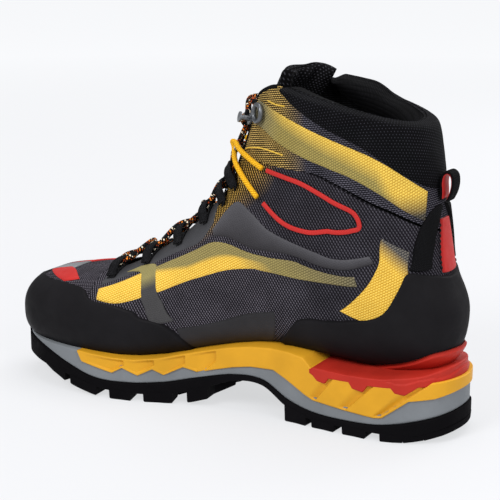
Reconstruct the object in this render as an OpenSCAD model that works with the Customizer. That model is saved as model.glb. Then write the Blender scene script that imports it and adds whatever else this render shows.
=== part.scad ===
// Mid-height technical mountaineering boot, right foot, toe towards -X, medial side towards -Y.
// Every upper part is laid on one last surface, skin(along, around, depth): "along" runs from
// the toe tip (0) over the instep to the collar rim (16), "around" from the lacing line (0) down
// each side to the sole centreline or the back seam (medial -1, lateral +1), and "depth" is the
// height above the outer face of the cloth in millimetres.

/* [Size] */
// Overall length, toe bumper to heel
boot_length = 304; // [285:1:330]
// Width of the sole across the ball of the foot
ball_width = 104; // [96:1:112]
// Height of the collar above the ground at the back
back_height = 182; // [165:1:200]

/* [Upper] */
// Thickness of the woven upper
cloth = 2.2; // [1.8:0.1:2.4]
// Thickness of the fused overlay films
film = 0.7; // [0.5:0.1:0.8]
// Thickness of the rubber rand and heel counter
rubber = 2.2; // [1.8:0.1:2.3]
// Thickness of the padded collar
collar_pad = 8; // [6:0.5:9]

/* [Sole] */
// Radius of the rounded lug corners
lug_round = 1.5; // [1:0.25:2]
// Width of a shank laid under the lasting board
shank_width = 22; // [16:1:23]

/* [Laces] */
// Diameter of the round lace
lace_d = 4; // [3.6:0.1:4.2]
// Diameter of the ankle cords
cord_d = 3.2; // [2.8:0.1:3.4]
// Outer diameter of the top eyelet rings
ring_d = 12.6; // [11:0.2:14]

/* [Hidden] */

MEDIAL = -1;
LATERAL = 1;
air = 0.5;                       // clearance between laid-on layers
bed = 3.9;                       // how far the sole's hollow bed stands off the cloth
kx = boot_length / 308;
ky = ball_width / 104;
kz = back_height / 182;

// Last stations: bottom point x z, top point x z, medial and lateral half widths, centre y,
// and the squareness of the upper and the lower half of the section
LAST = [
    [-150.5, 42.0, -150.5, 46.0, 3, 3, -6, 2.2, 2.4],
    [-147, 33, -147.5, 57, 19, 18, -6, 2.3, 2.6],
    [-138, 27, -138, 65.5, 33, 30, -5, 2.4, 3.0],
    [-120, 24, -119, 69.5, 43, 41.5, -3, 2.5, 3.2],
    [-92, 22, -93, 73.5, 49, 48, -1, 2.5, 3.4],
    [-62, 22.5, -66, 82.5, 48.5, 50, 0, 2.4, 3.4],
    [-30, 27.5, -42, 97, 43, 47, 2, 2.3, 3.2],
    [0, 35, -21.5, 114.5, 38.5, 42, 2, 2.2, 3.0],
    [32, 40, -6.5, 132, 36.5, 38.5, 2, 2.2, 2.8],
    [68, 39.5, 1, 146, 36.5, 37.5, 1, 2.2, 2.6],
    [104, 37, 5, 158, 37, 37.5, 1, 2.2, 2.4],
    [138, 45, 7.5, 167, 36.5, 37, 1, 2.2, 2.3],
    [146.5, 70, 10, 175.5, 35.5, 36, 1, 2.2, 2.3],
    [138.3, 94, 12.5, 183, 34.5, 35, 1, 2.2, 2.3],
    [132.5, 128, 15, 190, 35, 35.5, 1, 2.2, 2.3],
    [127, 158, 18, 197, 36, 36.5, 1, 2.2, 2.3],
    [121.5, 182, 21, 203, 36.5, 37, 1, 2.2, 2.3]
];
RIM = len(LAST) - 1;

// Sole stations: x, medial y, lateral y, then the height of the underside of the tread plate,
// of the tread plate's top, of the frame's lower edge and of the frame's top edge
SOLE = [
    [-154, -6, -6, 14.5, 26, 26.6, 28],
    [-150, -21, 9, 14.5, 27, 27.6, 29],
    [-140, -34, 22, 14.5, 28, 28.6, 29.6],
    [-122, -46, 38, 14, 26, 27, 29.4],
    [-100, -51, 47, 11, 18.5, 23.5, 28.4],
    [-78, -52, 51, 6.5, 12.3, 19.5, 27.3],
    [-55, -49, 52, 5, 11.6, 18.5, 27],
    [-32, -42, 49, 6, 13.6, 20, 29.5],
    [-10, -36, 45.5, 11, 18.5, 22.8, 35],
    [12, -33, 42, 19, 23, 27.3, 40.5],
    [32, -32.5, 40.5, 19.5, 22.8, 30.3, 43.5],
    [50, -33.5, 39.5, 9, 13.5, 25.5, 43],
    [68, -35.5, 39, 4.5, 9.3, 17.5, 36],
    [90, -37, 38.5, 4.5, 8.6, 15, 30],
    [112, -37, 38, 4.5, 9.8, 14.5, 30],
    [132, -31.5, 33, 3.5, 13, 22, 31],
    [148, -19, 21, 8, 16.5, 27, 33],
    [154, 1, 1, 10, 18.5, 29, 33.5]
];
TAIL = len(SOLE) - 1;
UNDER = 3;
TREAD = 4;
FRAME_LOW = 5;
FRAME_TOP = 6;

// ---------- curves ----------
function mix(a, b, f) = a + (b - a) * f;
function sharp(v, n) = sign(v) * pow(abs(v), 2 / n);
function unit(v) = v / norm(v);
function at(list, i) = list[max(0, min(i, len(list) - 1))];

// Smooth curve through the rows of a list, at a fractional row number
function smooth(list, t) =
    let (i = max(0, min(floor(t), len(list) - 2)), f = t - i)
    let (a = at(list, i - 1), b = list[i], c = list[i + 1], d = at(list, i + 2))
    f > 1 ? c + (c - b) * (f - 1)
    : 0.5 * (2 * b + (c - a) * f + (2 * a - 5 * b + 4 * c - d) * f * f + (3 * b - a - 3 * c + d) * f * f * f);

// Point list resampled on its smooth curve
function resample(list, n) = [for (i = [0:n]) smooth(list, (len(list) - 1) * i / n)];

function place(t, p) =
    let (s = smooth(LAST, t), c = cos(180 * p), v = sin(180 * p), n = c < 0 ? s[8] : s[7])
    let (r = 0.5 + 0.5 * sharp(c, n), w = v < 0 ? s[4] : s[5])
    [kx * mix(s[0], s[2], r), ky * (s[6] + w * sharp(v, n)), kz * mix(s[1], s[3], r)];

function outward(t, p) =
    let (h = 0.02, a = max(t, 0.05))
    unit(cross(place(a + h, p) - place(a - h, p), place(a, p + h) - place(a, p - h)));

function skin(t, p, depth) = place(t, p) + depth * outward(t, p);
function toe_tip(depth) = [kx * LAST[0][0] - depth, ky * LAST[0][6], kz * 44];

// Row of the sole table at station s, its plan rounded off over the first and the last station
function sole_row(s) =
    let (q = smooth(SOLE, s), e = max(0.001, min(1, s, TAIL - s)), tip = at(SOLE, s < 1 ? 0 : TAIL))
    let (g = sqrt(e * (2 - e)) / e)
    [q[0], mix(tip[1], q[1], g), mix(tip[2], q[2], g), q[3], q[4], q[5], q[6]];
function sole_at(x) = sole_row(lookup(x, [for (i = [0:TAIL]) [SOLE[i][0], i]]));

// ---------- solids from point grids ----------
function quads(n, m, base, flip) = [
    for (i = [0:n - 1], j = [0:m - 1])
        let (a = base + i * (m + 1) + j, b = a + 1, c = a + m + 1, d = c + 1)
            each flip ? [[a, c, b], [b, c, d]] : [[a, b, c], [b, d, c]]
];
function wall(ring, gap) = [
    for (i = [0:len(ring) - 1])
        let (a = ring[i], b = ring[(i + 1) % len(ring)])
            each [[a, b, a + gap], [b, b + gap, a + gap]]
];

// Closed shell between an inner and an outer grid of points
module shell(inner, outer) {
    n = len(inner) - 1;
    m = len(inner[0]) - 1;
    gap = (n + 1) * (m + 1);
    rim = concat([for (j = [0:m]) j], [for (i = [1:n]) i * (m + 1) + m],
        [for (j = [m - 1:-1:0]) n * (m + 1) + j], [for (i = [n - 1:-1:1]) i * (m + 1)]);
    polyhedron([for (g = [inner, outer], row = g) each row],
        concat(quads(n, m, 0, true), quads(n, m, gap, false), wall(rim, gap)));
}

// Loft through closed rings, with a fan on each end
module loft(rings) {
    n = len(rings);
    m = len(rings[0]);
    side = [
        for (i = [0:n - 2], j = [0:m - 1])
            let (a = i * m + j, b = i * m + (j + 1) % m)
                each [[a, b, a + m], [b, b + m, a + m]]
    ];
    ends = concat([for (j = [1:m - 2]) [0, j + 1, j]],
        [for (j = [1:m - 2]) [(n - 1) * m, (n - 1) * m + j, (n - 1) * m + j + 1]]);
    polyhedron([for (r = rings) each r], concat(side, ends));
}

// Panel on the last between two edges, each a list of [along, around] places
module panel(edge_a, edge_b, depth, side, nu = 14, nv = 3) {
    a = resample(edge_a, nu);
    b = resample(edge_b, nu);
    grids = [
        for (d = depth) [
            for (i = [0:nu]) [
                for (j = [0:nv]) let (q = mix(a[i], b[i], j / nv)) skin(q[0], side * q[1], d)
            ]
        ]
    ];
    g = grids[0];
    k = floor(nu / 2);
    facing = cross(g[k + 1][0] - g[k][0], g[k][1] - g[k][0]) * (grids[1][k][0] - g[k][0]);
    if (facing > 0) shell(grids[0], grids[1]);
    else shell(grids[1], grids[0]);
}

// Cap over the toe, from its tip to an edge given as [along, around] places
module toe_cap(edge, depth, nu = 26, nv = 6) {
    e = resample(edge, nu);
    rows = [
        for (i = [0:nu]) [
            for (d = depth, j = [1:nv])
                let (k = d == depth[0] ? j : nv + 1 - j) skin(e[i][0] * k / nv, e[i][1], d)
        ]
    ];
    m = 2 * nv;
    tips = (nu + 1) * m;
    side = [
        for (i = [0:nu - 1], j = [0:m - 2])
            let (a = i * m + j, b = a + m)
                each [[a, a + 1, b], [b, a + 1, b + 1]]
    ];
    nose = [for (i = [0:nu - 1]) each [[i * m, (i + 1) * m, tips], [i * m + m - 1, tips + 1, (i + 2) * m - 1]]];
    cut = [
        for (j = [0:nv - 2], first = [true, false])
            let (e = first ? 0 : nu * m, a = e + j, b = e + m - 1 - j)
                each first ? [[a, b, a + 1], [a + 1, b, b - 1]] : [[a, a + 1, b], [a + 1, b - 1, b]]
    ];
    ends = [[0, tips, m - 1], [tips, tips + 1, m - 1], [nu * m, nu * m + m - 1, tips], [tips, nu * m + m - 1, tips + 1]];
    polyhedron(concat([for (r = rows) each r], [toe_tip(depth[0]), toe_tip(depth[1])]), concat(side, nose, cut, ends));
}

// Frames carried along a path without twist
function across(path, i) =
    let (a = at(path, i - 1), b = at(path, i + 1)) unit(b - a);
function carried(path, first) = [
    for (i = 0, n = first; i < len(path);
        i = i + 1, n = i < len(path) ? unit(n - (n * across(path, i)) * across(path, i)) : n) n
];

// Sweep of a flat outline, [sideways, upwards] points, along a path
module sweep(path, outline, first) {
    ups = carried(path, unit(first - (first * across(path, 0)) * across(path, 0)));
    loft([
        for (i = [0:len(path) - 1])
            let (side = cross(across(path, i), ups[i])) [for (q = outline) path[i] + q[0] * side + q[1] * ups[i]]
    ]);
}
function disc(d, sides) = [for (i = [0:sides - 1]) d / 2 * [cos(360 * i / sides), sin(360 * i / sides)]];
function bar(w, h) = [[-w / 2, 0], [w / 2, 0], [w / 2, h], [-w / 2, h]];

// Route on the last: [along, around, depth] places resampled to points
function route(places, side, n) = [for (q = resample(places, n)) skin(q[0], side * q[1], q[2])];

// ---------- sole ----------
// One layer of the sole between two height columns, drawn in by inset at each height
module sole_layer(low, high, s0, s1, inset) {
    loft([
        for (s = [s0:0.5:s1])
            let (q = sole_row(s), g = min(1, 0.15 + 2 * min(s, TAIL - s)) * inset)
            let (w = max(2, (q[2] - q[1]) * ky / 2 - g), c = (q[1] + q[2]) * ky / 2, x = q[0] * kx)
            let (a = low(q) * kz, b = high(q) * kz)
                [[x, c + w - 1, a], [x, c - w + 1, a], [x, c - w, a + 1], [x, c - w, b], [x, c + w, b], [x, c + w, a + 1]]
    ]);
}

// Keeps a moulded body, which has no bores, as one mesh
module moulded() {
    resize([0, 0, 0]) children();
}

// Everything the finished upper fills, cut out of the sole parts
module upper_space(grow) {
    nt = 24;
    np = 28;
    rings = [for (i = [1:nt]) [for (j = [0:np - 1]) skin(13 * i / nt, 2 * j / np - 1, grow)]];
    tip = nt * np;
    side = [
        for (i = [0:nt - 2], j = [0:np - 1])
            let (a = i * np + j, b = i * np + (j + 1) % np) each [[a, b, a + np], [b, b + np, a + np]]
    ];
    nose = [for (j = [0:np - 1]) [j, tip, (j + 1) % np]];
    end = [for (j = [1:np - 2]) [(nt - 1) * np, (nt - 1) * np + j, (nt - 1) * np + j + 1]];
    polyhedron(concat([for (r = rings) each r], [toe_tip(grow)]), concat(side, nose, end));
}

function ground(x) =
    x < -62 ? 0.0041 * pow(-62 - x, 2) : x > -35 && x < 30 ? 0.0055 * pow(x + 35, 2) : 0;

// One tread lug from x0 to x1 and y0 to y1, standing on the ground line
module lug(x0, x1, y0, y1) {
    r = lug_round;
    hull() for (x = [x0 + r, x1 - r], y = [y0 + r, y1 - r])
        translate([x * kx, y * ky, ground(x) * kz])
            cylinder(h = sole_at(x)[UNDER] * kz + 1 - ground(x) * kz, r1 = r - 0.4, r2 = r, $fn = 8);
}

module outsole() {
    edge_w = 13;
    color("#1b1b1c") moulded() difference() {
        union() {
            sole_layer(function (q) q[UNDER], function (q) q[TREAD], 0, TAIL, 0);
            for (x = [-95, -71, -47, -23], s = [MEDIAL, LATERAL]) {
                y = sole_at(x + 9)[s == MEDIAL ? 1 : 2] - s * 1.5;
                lug(x, x + 18, min(y, y - s * edge_w), max(y, y - s * edge_w));
            }
            for (x = [-89, -65, -41, -17], y = [-20, 4]) lug(x, x + 14, y - 3, y + 14);
            for (x = [49, 70, 91], s = [MEDIAL, LATERAL]) {
                y = sole_at(x + 8)[s == MEDIAL ? 1 : 2] - s * 1.5;
                lug(x, x + 16, min(y, y - s * edge_w), max(y, y - s * edge_w));
            }
            for (x = [55, 77], y = [-14, 4]) lug(x, x + 14, y, y + 12);
            for (y = [-26, -11, 4, 19]) lug(112, 126, y, y + 10);
        }
        upper_space(bed);
    }
}

module midsole() {
    color("#7f8488") moulded() difference() {
        sole_layer(function (q) q[TREAD] + 0.05, function (q) q[FRAME_LOW], 3, TAIL, 1.4);
        upper_space(bed);
    }
}

module midsole_frame() {
    color("#eab52a") moulded() difference() {
        sole_layer(function (q) q[FRAME_LOW] + 0.05, function (q) q[FRAME_TOP], 3, TAIL, 1);
        upper_space(bed);
        for (i = [0:3]) translate([(-80 + 17 * i) * kx, -53 * ky, 16 * kz]) rotate([0, -35, 0])
            cube([9, 4.5, 9]);
        for (i = [0:4]) translate([(58 + 14 * i) * kx, -40 * ky, 15 * kz]) rotate([0, 30, 0])
            cube([6, 4.4, 14]);
    }
}

module heel_insert() {
    low = 30.1;
    rise = function (q) q[0] < 112 ? 36.5 : 38;
    cup_a = [[9.9, 0.905], [10.5, 0.87], [11.0, 0.865], [11.25, 0.93], [11.3, 1.0],
        [11.25, 1.07], [11.0, 1.135], [10.5, 1.13], [9.9, 1.095]];
    cup_b = [[9.9, 0.95], [10.3, 0.95], [10.6, 0.965], [10.72, 0.985], [10.75, 1.0],
        [10.72, 1.015], [10.6, 1.035], [10.3, 1.05], [9.9, 1.05]];
    color("#c5362e") moulded() {
        difference() {
            sole_layer(function (q) max(low, q[FRAME_TOP] + 0.2), rise, 12, TAIL, 0.5);
            upper_space(bed);
            for (i = [0:2], s = [MEDIAL, LATERAL])
                translate([(76 + 22 * i) * kx, s * 40 * ky, (low - 1) * kz]) cube([9, 14, 5], center = true);
        }
        panel(cup_a, cup_b, [3.7, 6.2], LATERAL, 28, 3);
    }
}

module shank() {
    w = shank_width / 2;
    color("#3f4347") shell(
        [for (t = [3:0.7:8.6]) [for (y = [-w, 0, w]) place(t, 1) + [0, y, 0.5]]],
        [for (t = [3:0.7:8.6]) [for (y = [-w, 0, w]) place(t, 1) + [0, y, cloth - 0.1]]]
    );
}

// ---------- inside ----------
module lasting_board() {
    a = [[1.0, 0.76], [3, 0.79], [5.5, 0.80], [8, 0.81], [10, 0.86], [10.8, 0.9]];
    b = [for (q = a) [q[0], 2 - q[1]]];
    color("#b9a57a") panel(a, b, [-cloth - air - 2.3, -cloth - air - 0.5], LATERAL, 18, 8);
}

module footbed() {
    a = [[1.1, 0.76], [3, 0.77], [5.5, 0.78], [8, 0.77], [10, 0.84], [10.9, 0.88]];
    b = [for (q = a) [q[0], 2 - q[1]]];
    color("#2f3338") panel(a, b, [-cloth - air - 6.7, -cloth - air - 2.9], LATERAL, 18, 8);
}

module toe_puff() {
    edge = [for (p = [-0.72:0.12:0.72]) [2.6 + 0.5 * abs(p), p]];
    color("#d9cfae") toe_cap(edge, [-cloth - air - 1, -cloth - air], 20, 4);
}

module heel_stiffener() {
    a = [[9.4, 0.70], [10.6, 0.69], [11.8, 0.72], [12.5, 0.80], [12.7, 1.0], [12.5, 1.20], [11.8, 1.28],
        [10.6, 1.31], [9.4, 1.30]];
    b = [[9.6, 0.84], [10.3, 0.85], [10.9, 0.88], [11.3, 0.93], [11.4, 1.0], [11.3, 1.07], [10.9, 1.12],
        [10.3, 1.15], [9.6, 1.16]];
    color("#e4dcc2") panel(a, b, [-cloth - air - 1.7, -cloth - air - 0.3], LATERAL, 26, 3);
}

module foot_lining() {
    deep = -cloth - air - 1.8;
    color("#4b4b4f") for (s = [MEDIAL, LATERAL])
        panel([[3.4, 0.10], [5.4, 0.19], [7.2, 0.21], [9, 0.30]], [[3.4, 0.74], [5.4, 0.75], [7.2, 0.74], [9, 0.67]],
            [deep - 0.8, deep], s, 12, 7);
}

module ankle_lining() {
    a = [[9.6, 0.36], [12.6, 0.42], [13.6, 0.55], [14.0, 0.75], [14.0, 1.0],
        [14.0, 1.25], [13.6, 1.45], [12.6, 1.58], [9.6, 1.64]];
    b = [[9.4, 0.66], [10.5, 0.655], [11.8, 0.68], [12.7, 0.78], [12.9, 1.0],
        [12.7, 1.22], [11.8, 1.32], [10.5, 1.345], [9.4, 1.34]];
    color("#262628") panel(a, b, [-cloth - air - 4.5, -cloth - air], LATERAL, 28, 4);
}

// ---------- woven upper ----------
module vamp() {
    edge = [[4.3, -0.93], [4.3, -0.80], [4.3, -0.65], [4.3, -0.5], [4.3, -0.35], [4.3, -0.2], [4.3, -0.1], [4.3, 0],
        [4.3, 0.1], [4.3, 0.2], [4.3, 0.35], [4.3, 0.5], [4.3, 0.65], [4.3, 0.80], [4.3, 0.93]];
    color("#3d3d41") toe_cap(edge, [-cloth, 0], 28, 7);
}

module quarter(side) {
    a = [[4.33, 0.12], [7, 0.12], [9.3, 0.12], [10.6, 0.20], [11.9, 0.31], [13.3, 0.46], [13.68, 0.66],
        [13.75, 0.80]];
    b = [[4.33, 0.93], [6.6, 0.93], [8.8, 0.93], [10.2, 0.95], [11.0, 0.996], [12.3, 0.996], [13.7, 0.996]];
    color("#45454a") panel(a, b, [-cloth, 0], side, 24, 10);
}
module quarter_medial() { quarter(MEDIAL); }
module quarter_lateral() { quarter(LATERAL); }

module cuff(side) {
    low = [[9.7, 0.13], [10.8, 0.2], [12.05, 0.31], [13.45, 0.46], [13.84, 0.66], [13.9, 0.82], [13.88, 0.996]];
    high = [[15.2, 0.13], [15.4, 0.345], [14.98, 0.46], [14.85, 0.60], [14.55, 0.78], [14.42, 0.996]];
    color("#7d6a3c") difference() {
        panel(low, high, [-cloth, 0], side, 20, 5);
        eyelet_hole(side);
    }
}
module cuff_medial() { cuff(MEDIAL); }
module cuff_lateral() { cuff(LATERAL); }

module collar() {
    low = [[15.55, 0.36], [15.3, 0.40], [15.05, 0.50], [14.95, 0.62], [14.65, 0.78], [14.5, 1.0],
        [14.65, 1.22], [14.95, 1.38], [15.05, 1.50], [15.3, 1.60], [15.55, 1.64]];
    high = [[16, 0.33], [16, 0.42], [16, 0.54], [16, 0.66], [16, 0.82], [16, 1.0],
        [16, 1.18], [16, 1.34], [16, 1.46], [16, 1.58], [16, 1.67]];
    color("#161618") panel(low, high, [-collar_pad, 0.6], LATERAL, 34, 3);
}

module tongue_lower() {
    a = [[4.6, 0.15], [6.5, 0.16], [8.5, 0.17], [9.7, 0.18]];
    b = [for (q = a) [q[0], -q[1]]];
    color("#2c2c2f") panel(a, b, [-cloth - air - 4.6, -cloth - air - 1.6], MEDIAL, 12, 6);
}

module tongue_flap() {
    a = [[9.85, 0.18], [11.5, 0.20], [13.5, 0.22], [15.2, 0.25], [17.4, 0.19]];
    b = [for (q = a) [q[0], -q[1]]];
    color("#19191b") panel(a, b, [-15.5, -9], MEDIAL, 18, 8);
}

// ---------- overlays ----------
module toe_rand() {
    half = [[1.7, 0], [1.9, 0.10], [2.7, 0.20], [4.0, 0.28], [4.4, 0.38], [5.0, 0.44], [5.5, 0.50], [6.1, 0.57],
        [6.4, 0.72], [6.4, 0.92]];
    edge = concat([for (i = [9:-1:1]) [half[i][0], -half[i][1]]], half);
    color("#1d1d1e") toe_cap(edge, [2.4 * air, 2.4 * air + rubber], 36, 9);
}

module toe_patch() {
    a = [[2.0, 0.04], [2.5, 0.05], [3.0, 0.05]];
    b = [for (q = a) [q[0], -q[1]]];
    color("#77797c") panel(a, b, [air, air + film], MEDIAL, 4, 4);
}

module toe_stripe() {
    a = [[2.1, 0.07], [2.8, 0.13], [3.3, 0.19]];
    b = [[2.6, 0.062], [3.1, 0.068], [3.6, 0.16]];
    color("#d03a2f") for (s = [MEDIAL, LATERAL]) panel(a, b, [air, air + film], s, 6, 2);
}

module heel_counter() {
    a = [[8.3, 0.80], [9.1, 0.655], [10.2, 0.65], [10.8, 0.66], [11.8, 0.68], [12.6, 0.73], [12.95, 0.86], [13.0, 1.0],
        [12.95, 1.14], [12.6, 1.27], [11.8, 1.32], [10.8, 1.34], [10.2, 1.35], [9.1, 1.345], [8.3, 1.20]];
    b = [[8.35, 0.93], [9.1, 0.93], [9.9, 0.94], [10.4, 0.95], [10.7, 0.965], [10.85, 0.98], [10.9, 0.99], [10.9, 1.0],
        [10.9, 1.01], [10.85, 1.02], [10.7, 1.035], [10.4, 1.05], [9.9, 1.06], [9.1, 1.07], [8.35, 1.07]];
    color("#1a1a1b") panel(a, b, [air, air + rubber], LATERAL, 44, 6);
}

module skirt(side) {
    a = [[6.5, 0.60], [6.8, 0.62], [7.4, 0.63], [8.1, 0.62], [8.5, 0.61], [8.7, 0.62]];
    b = [[6.5, 0.92], [6.8, 0.92], [7.1, 0.92], [7.4, 0.92], [7.6, 0.92], [7.8, 0.92]];
    color("#3f3f42") panel(a, b, [air, air + film], side, 10, 5);
}
module skirt_medial() { skirt(MEDIAL); }
module skirt_lateral() { skirt(LATERAL); }

module lower_band(side) {
    a = [[4.5, 0.30], [5.5, 0.28], [6.2, 0.295], [7.0, 0.33], [7.6, 0.35], [8.1, 0.39], [8.7, 0.445], [9.3, 0.475],
        [10.1, 0.495], [10.8, 0.535], [11.3, 0.57]];
    b = [[4.55, 0.385], [5.1, 0.435], [5.9, 0.445], [6.7, 0.455], [7.4, 0.472], [8.2, 0.49], [8.9, 0.502],
        [9.6, 0.518], [10.2, 0.537], [10.7, 0.558], [11.15, 0.586]];
    color("#e9c64a") panel(a, b, [1.3 * air, 1.3 * air + film], side, 18, 2);
}
module lower_band_medial() { lower_band(MEDIAL); }
module lower_band_lateral() { lower_band(LATERAL); }

module upper_band(side) {
    a = [[14.2, 0.15], [14.45, 0.24], [14.6, 0.34], [14.7, 0.47], [14.8, 0.60], [14.7, 0.69], [14.48, 0.79], [14.33, 0.895]];
    b = [[12.4, 0.15], [12.95, 0.22], [13.2, 0.32], [13.55, 0.43], [13.9, 0.55], [14.0, 0.65], [13.95, 0.75], [13.88, 0.835]];
    color("#d9b84e") difference() {
        panel(a, b, [air, air + film], side, 18, 3);
        eyelet_hole(side);
    }
}
module upper_band_medial() { upper_band(MEDIAL); }
module upper_band_lateral() { upper_band(LATERAL); }

module ankle_panel(side) {
    a = [[7.7, 0.30], [8.3, 0.27], [9.1, 0.28], [9.6, 0.35], [9.9, 0.41], [10.7, 0.48], [11.6, 0.55], [12.1, 0.594]];
    b = [[7.75, 0.338], [8.2, 0.375], [8.9, 0.44], [9.4, 0.46], [10.0, 0.477], [10.7, 0.515], [11.5, 0.567],
        [12.0, 0.608]];
    color("#4c4d50") panel(a, b, [air, air + film + 0.4], side, 14, 2);
}
module ankle_panel_medial() { ankle_panel(MEDIAL); }
module ankle_panel_lateral() { ankle_panel(LATERAL); }

module rear_stripe(side) {
    a = [[13.1, 0.655], [12.5, 0.632], [11.5, 0.605], [10.9, 0.605], [10.3, 0.632]];
    b = [[13.15, 0.76], [12.6, 0.712], [11.8, 0.665], [11.0, 0.648], [10.7, 0.646]];
    color("#e9c64a") panel(a, b, [air, air + film], side, 10, 2);
}
module rear_stripe_medial() { rear_stripe(MEDIAL); }
module rear_stripe_lateral() { rear_stripe(LATERAL); }

module eyestay(side) {
    a = [[4.5, 0.14], [5.4, 0.14], [6.3, 0.14], [7.2, 0.14], [8.0, 0.14]];
    b = [[4.5, 0.27], [5.4, 0.25], [6.3, 0.27], [7.2, 0.31], [7.75, 0.27]];
    color("#5d5f62") panel(a, b, [1.4 * air, 1.4 * air + film], side, 16, 3);
}
module eyestay_medial() { eyestay(MEDIAL); }
module eyestay_lateral() { eyestay(LATERAL); }

module cord_tape(side) {
    places = [[11.45, 0.295, 1.4], [12.0, 0.36, 1.4], [12.6, 0.43, 1.4], [13.0, 0.51, 1.4], [13.2, 0.57, 1.4],
        [12.95, 0.585, 1.4], [12.5, 0.55, 1.4], [11.8, 0.50, 1.4], [11.1, 0.455, 1.4], [10.6, 0.41, 1.6],
        [10.35, 0.345, 1.6]];
    path = route(places, side, 26);
    color("#c8382f") sweep(path, bar(3, 0.8), outward(11.45, side * 0.295));
}
module cord_tape_medial() { cord_tape(MEDIAL); }
module cord_tape_lateral() { cord_tape(LATERAL); }

// ---------- lacing ----------
EYE_ROWS = [4.7, 5.6, 6.5, 7.4, 8.3, 9.2];
EYE = 0.105;
loop_low = air + film + 1.3;     // middle of the webbing under the lace
eye_depth = loop_low + 1.1 + lace_d / 2;
straight = 5.2;                  // the lace runs straight for this far on each side of a loop

// Through hole for the lace under the top eyelet ring
module on_skin(t, p) {
    n = outward(t, p);
    translate(place(t, p)) rotate([0, acos(n[2]), atan2(n[1], n[0])]) children();
}
module eyelet_hole(side) {
    on_skin(13.7, side * 0.21) translate([0, 0, -6]) cylinder(h = 12, d = lace_d + 3.4, $fn = 32);
}

// Folded webbing loop that holds the lace at one row
module lace_loop(t, side) {
    low = loop_low;
    top = eye_depth + lace_d / 2 + 1.1;
    places = [[t, 0.225, low + 1.1], [t, 0.19, top - 2], [t, 0.15, top], [t, 0.095, top + 0.1], [t, 0.068, top - 1.6],
        [t, 0.065, eye_depth], [t, 0.075, low + 0.4], [t, 0.11, low], [t, 0.15, low], [t, 0.19, low],
        [t, 0.235, low]];
    path = [for (q = places) skin(q[0], side * q[1], q[2])];
    along = unit(place(t + 0.1, side * 0.15) - place(t - 0.1, side * 0.15));
    outline = [[-0.35, -2.8], [0.35, -2.8], [0.35, 2.8], [-0.35, 2.8]];
    sweep(path, outline, along);
}
module lace_loops(side) {
    color("#232325") for (t = EYE_ROWS) lace_loop(t, side);
}
module lace_loops_medial() { lace_loops(MEDIAL); }
module lace_loops_lateral() { lace_loops(LATERAL); }

// Millimetres along the instep for one step of the last
function pitch(t) = norm(place(t + 0.1, 0) - place(t - 0.1, 0)) / 0.2;

// One half of the lace, from the lowest bar up through the loops, round the ankle cord, behind the
// hook, and through the top ring to its end inside the cuff
function half_lace(side, over) =
    let (rise = over ? 4.9 : 0.2, cord_t = 10.35, hook_t = 12.6, c = -side, h = side)
    concat(
        [for (i = [1:5])
            let (t = EYE_ROWS[i], s = i % 2 == 0 ? side : -side, w = straight / pitch(t))
            each [[mix(EYE_ROWS[i - 1], t, 0.5), 0, eye_depth + rise], [t - w, s * EYE, eye_depth],
                [t + w, s * EYE, eye_depth]]],
        [[9.85, 0, over ? 6.6 : 2.2], [cord_t - 0.05, -c * 0.055, 0.7], [cord_t - 0.04, -c * 0.1, 1.4],
            [cord_t, -c * 0.114, 4.9], [cord_t + 0.04, -c * 0.1, 8.4], [cord_t + 0.05, -c * 0.05, 9.1],
            [11.3, 0, over ? 8.4 : 3.4], [hook_t - 0.7, -h * 0.12, 5.4], [hook_t - 0.45, -h * 0.165, 5.3], [hook_t, -h * 0.185, 5.2],
            [hook_t + 0.45, -h * 0.175, 5.9], [13.2, -h * 0.05, over ? 9.8 : 6.4], [13.62, side * 0.15, 7.8],
            [13.7, side * 0.2, 5.6], [13.7, side * 0.21, 1], [13.62, side * 0.212, -4.4], [13.1, side * 0.21, -5.4],
            [12.4, side * 0.21, -5.4]]
    );

module lace() {
    w = straight / pitch(EYE_ROWS[0]);
    start = [[EYE_ROWS[0] + w, -EYE, eye_depth], [EYE_ROWS[0] - w, -EYE, eye_depth],
        [EYE_ROWS[0] - w - 0.12, 0, eye_depth + 0.6]];
    finish = [for (i = [1:-1:0]) [start[i][0], -start[i][1], start[i][2]]];
    one = half_lace(LATERAL, true);
    two = half_lace(MEDIAL, false);
    places = concat([for (i = [len(one) - 1:-1:0]) one[i]], start, finish, two);
    path = [for (q = places) skin(q[0], q[1], q[2])];
    color("#29292a") sweep(path, disc(lace_d, 8), [0, 0, 1]);
}

module aglets() {
    color("#101011") for (s = [MEDIAL, LATERAL]) {
        path = [for (i = [0:4]) skin(12.38 - 0.2 * i, s * 0.21, -5.4)];
        sweep(path, disc(lace_d - 0.4, 8), [1, 0, 0]);
    }
}

module ankle_cord(side) {
    places = [[11.4, 0.285, 1.4 + cord_d / 2], [11.2, 0.22, 3], [10.95, 0.14, 4.4], [10.76, 0.088, 4.8],
        [10.35, 0.07, 4.9], [9.94, 0.088, 4.8], [9.86, 0.14, 4.4], [9.95, 0.22, 3], [10.3, 0.325, 1.6 + cord_d / 2]];
    color("#f0c22c") sweep(route(places, side, 26), disc(cord_d, 8), [0, 0, 1]);
}
module ankle_cord_medial() { ankle_cord(MEDIAL); }
module ankle_cord_lateral() { ankle_cord(LATERAL); }

module eyelet_rings() {
    inner = lace_d + 2.8;
    color("#8a8d90") for (s = [MEDIAL, LATERAL]) on_skin(13.7, s * 0.21) translate([0, 0, 2.8])
        rotate_extrude($fn = 48) translate([(ring_d + inner) / 4, 0])
            circle(d = (ring_d - inner) / 2, $fn = 24);
}

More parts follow.
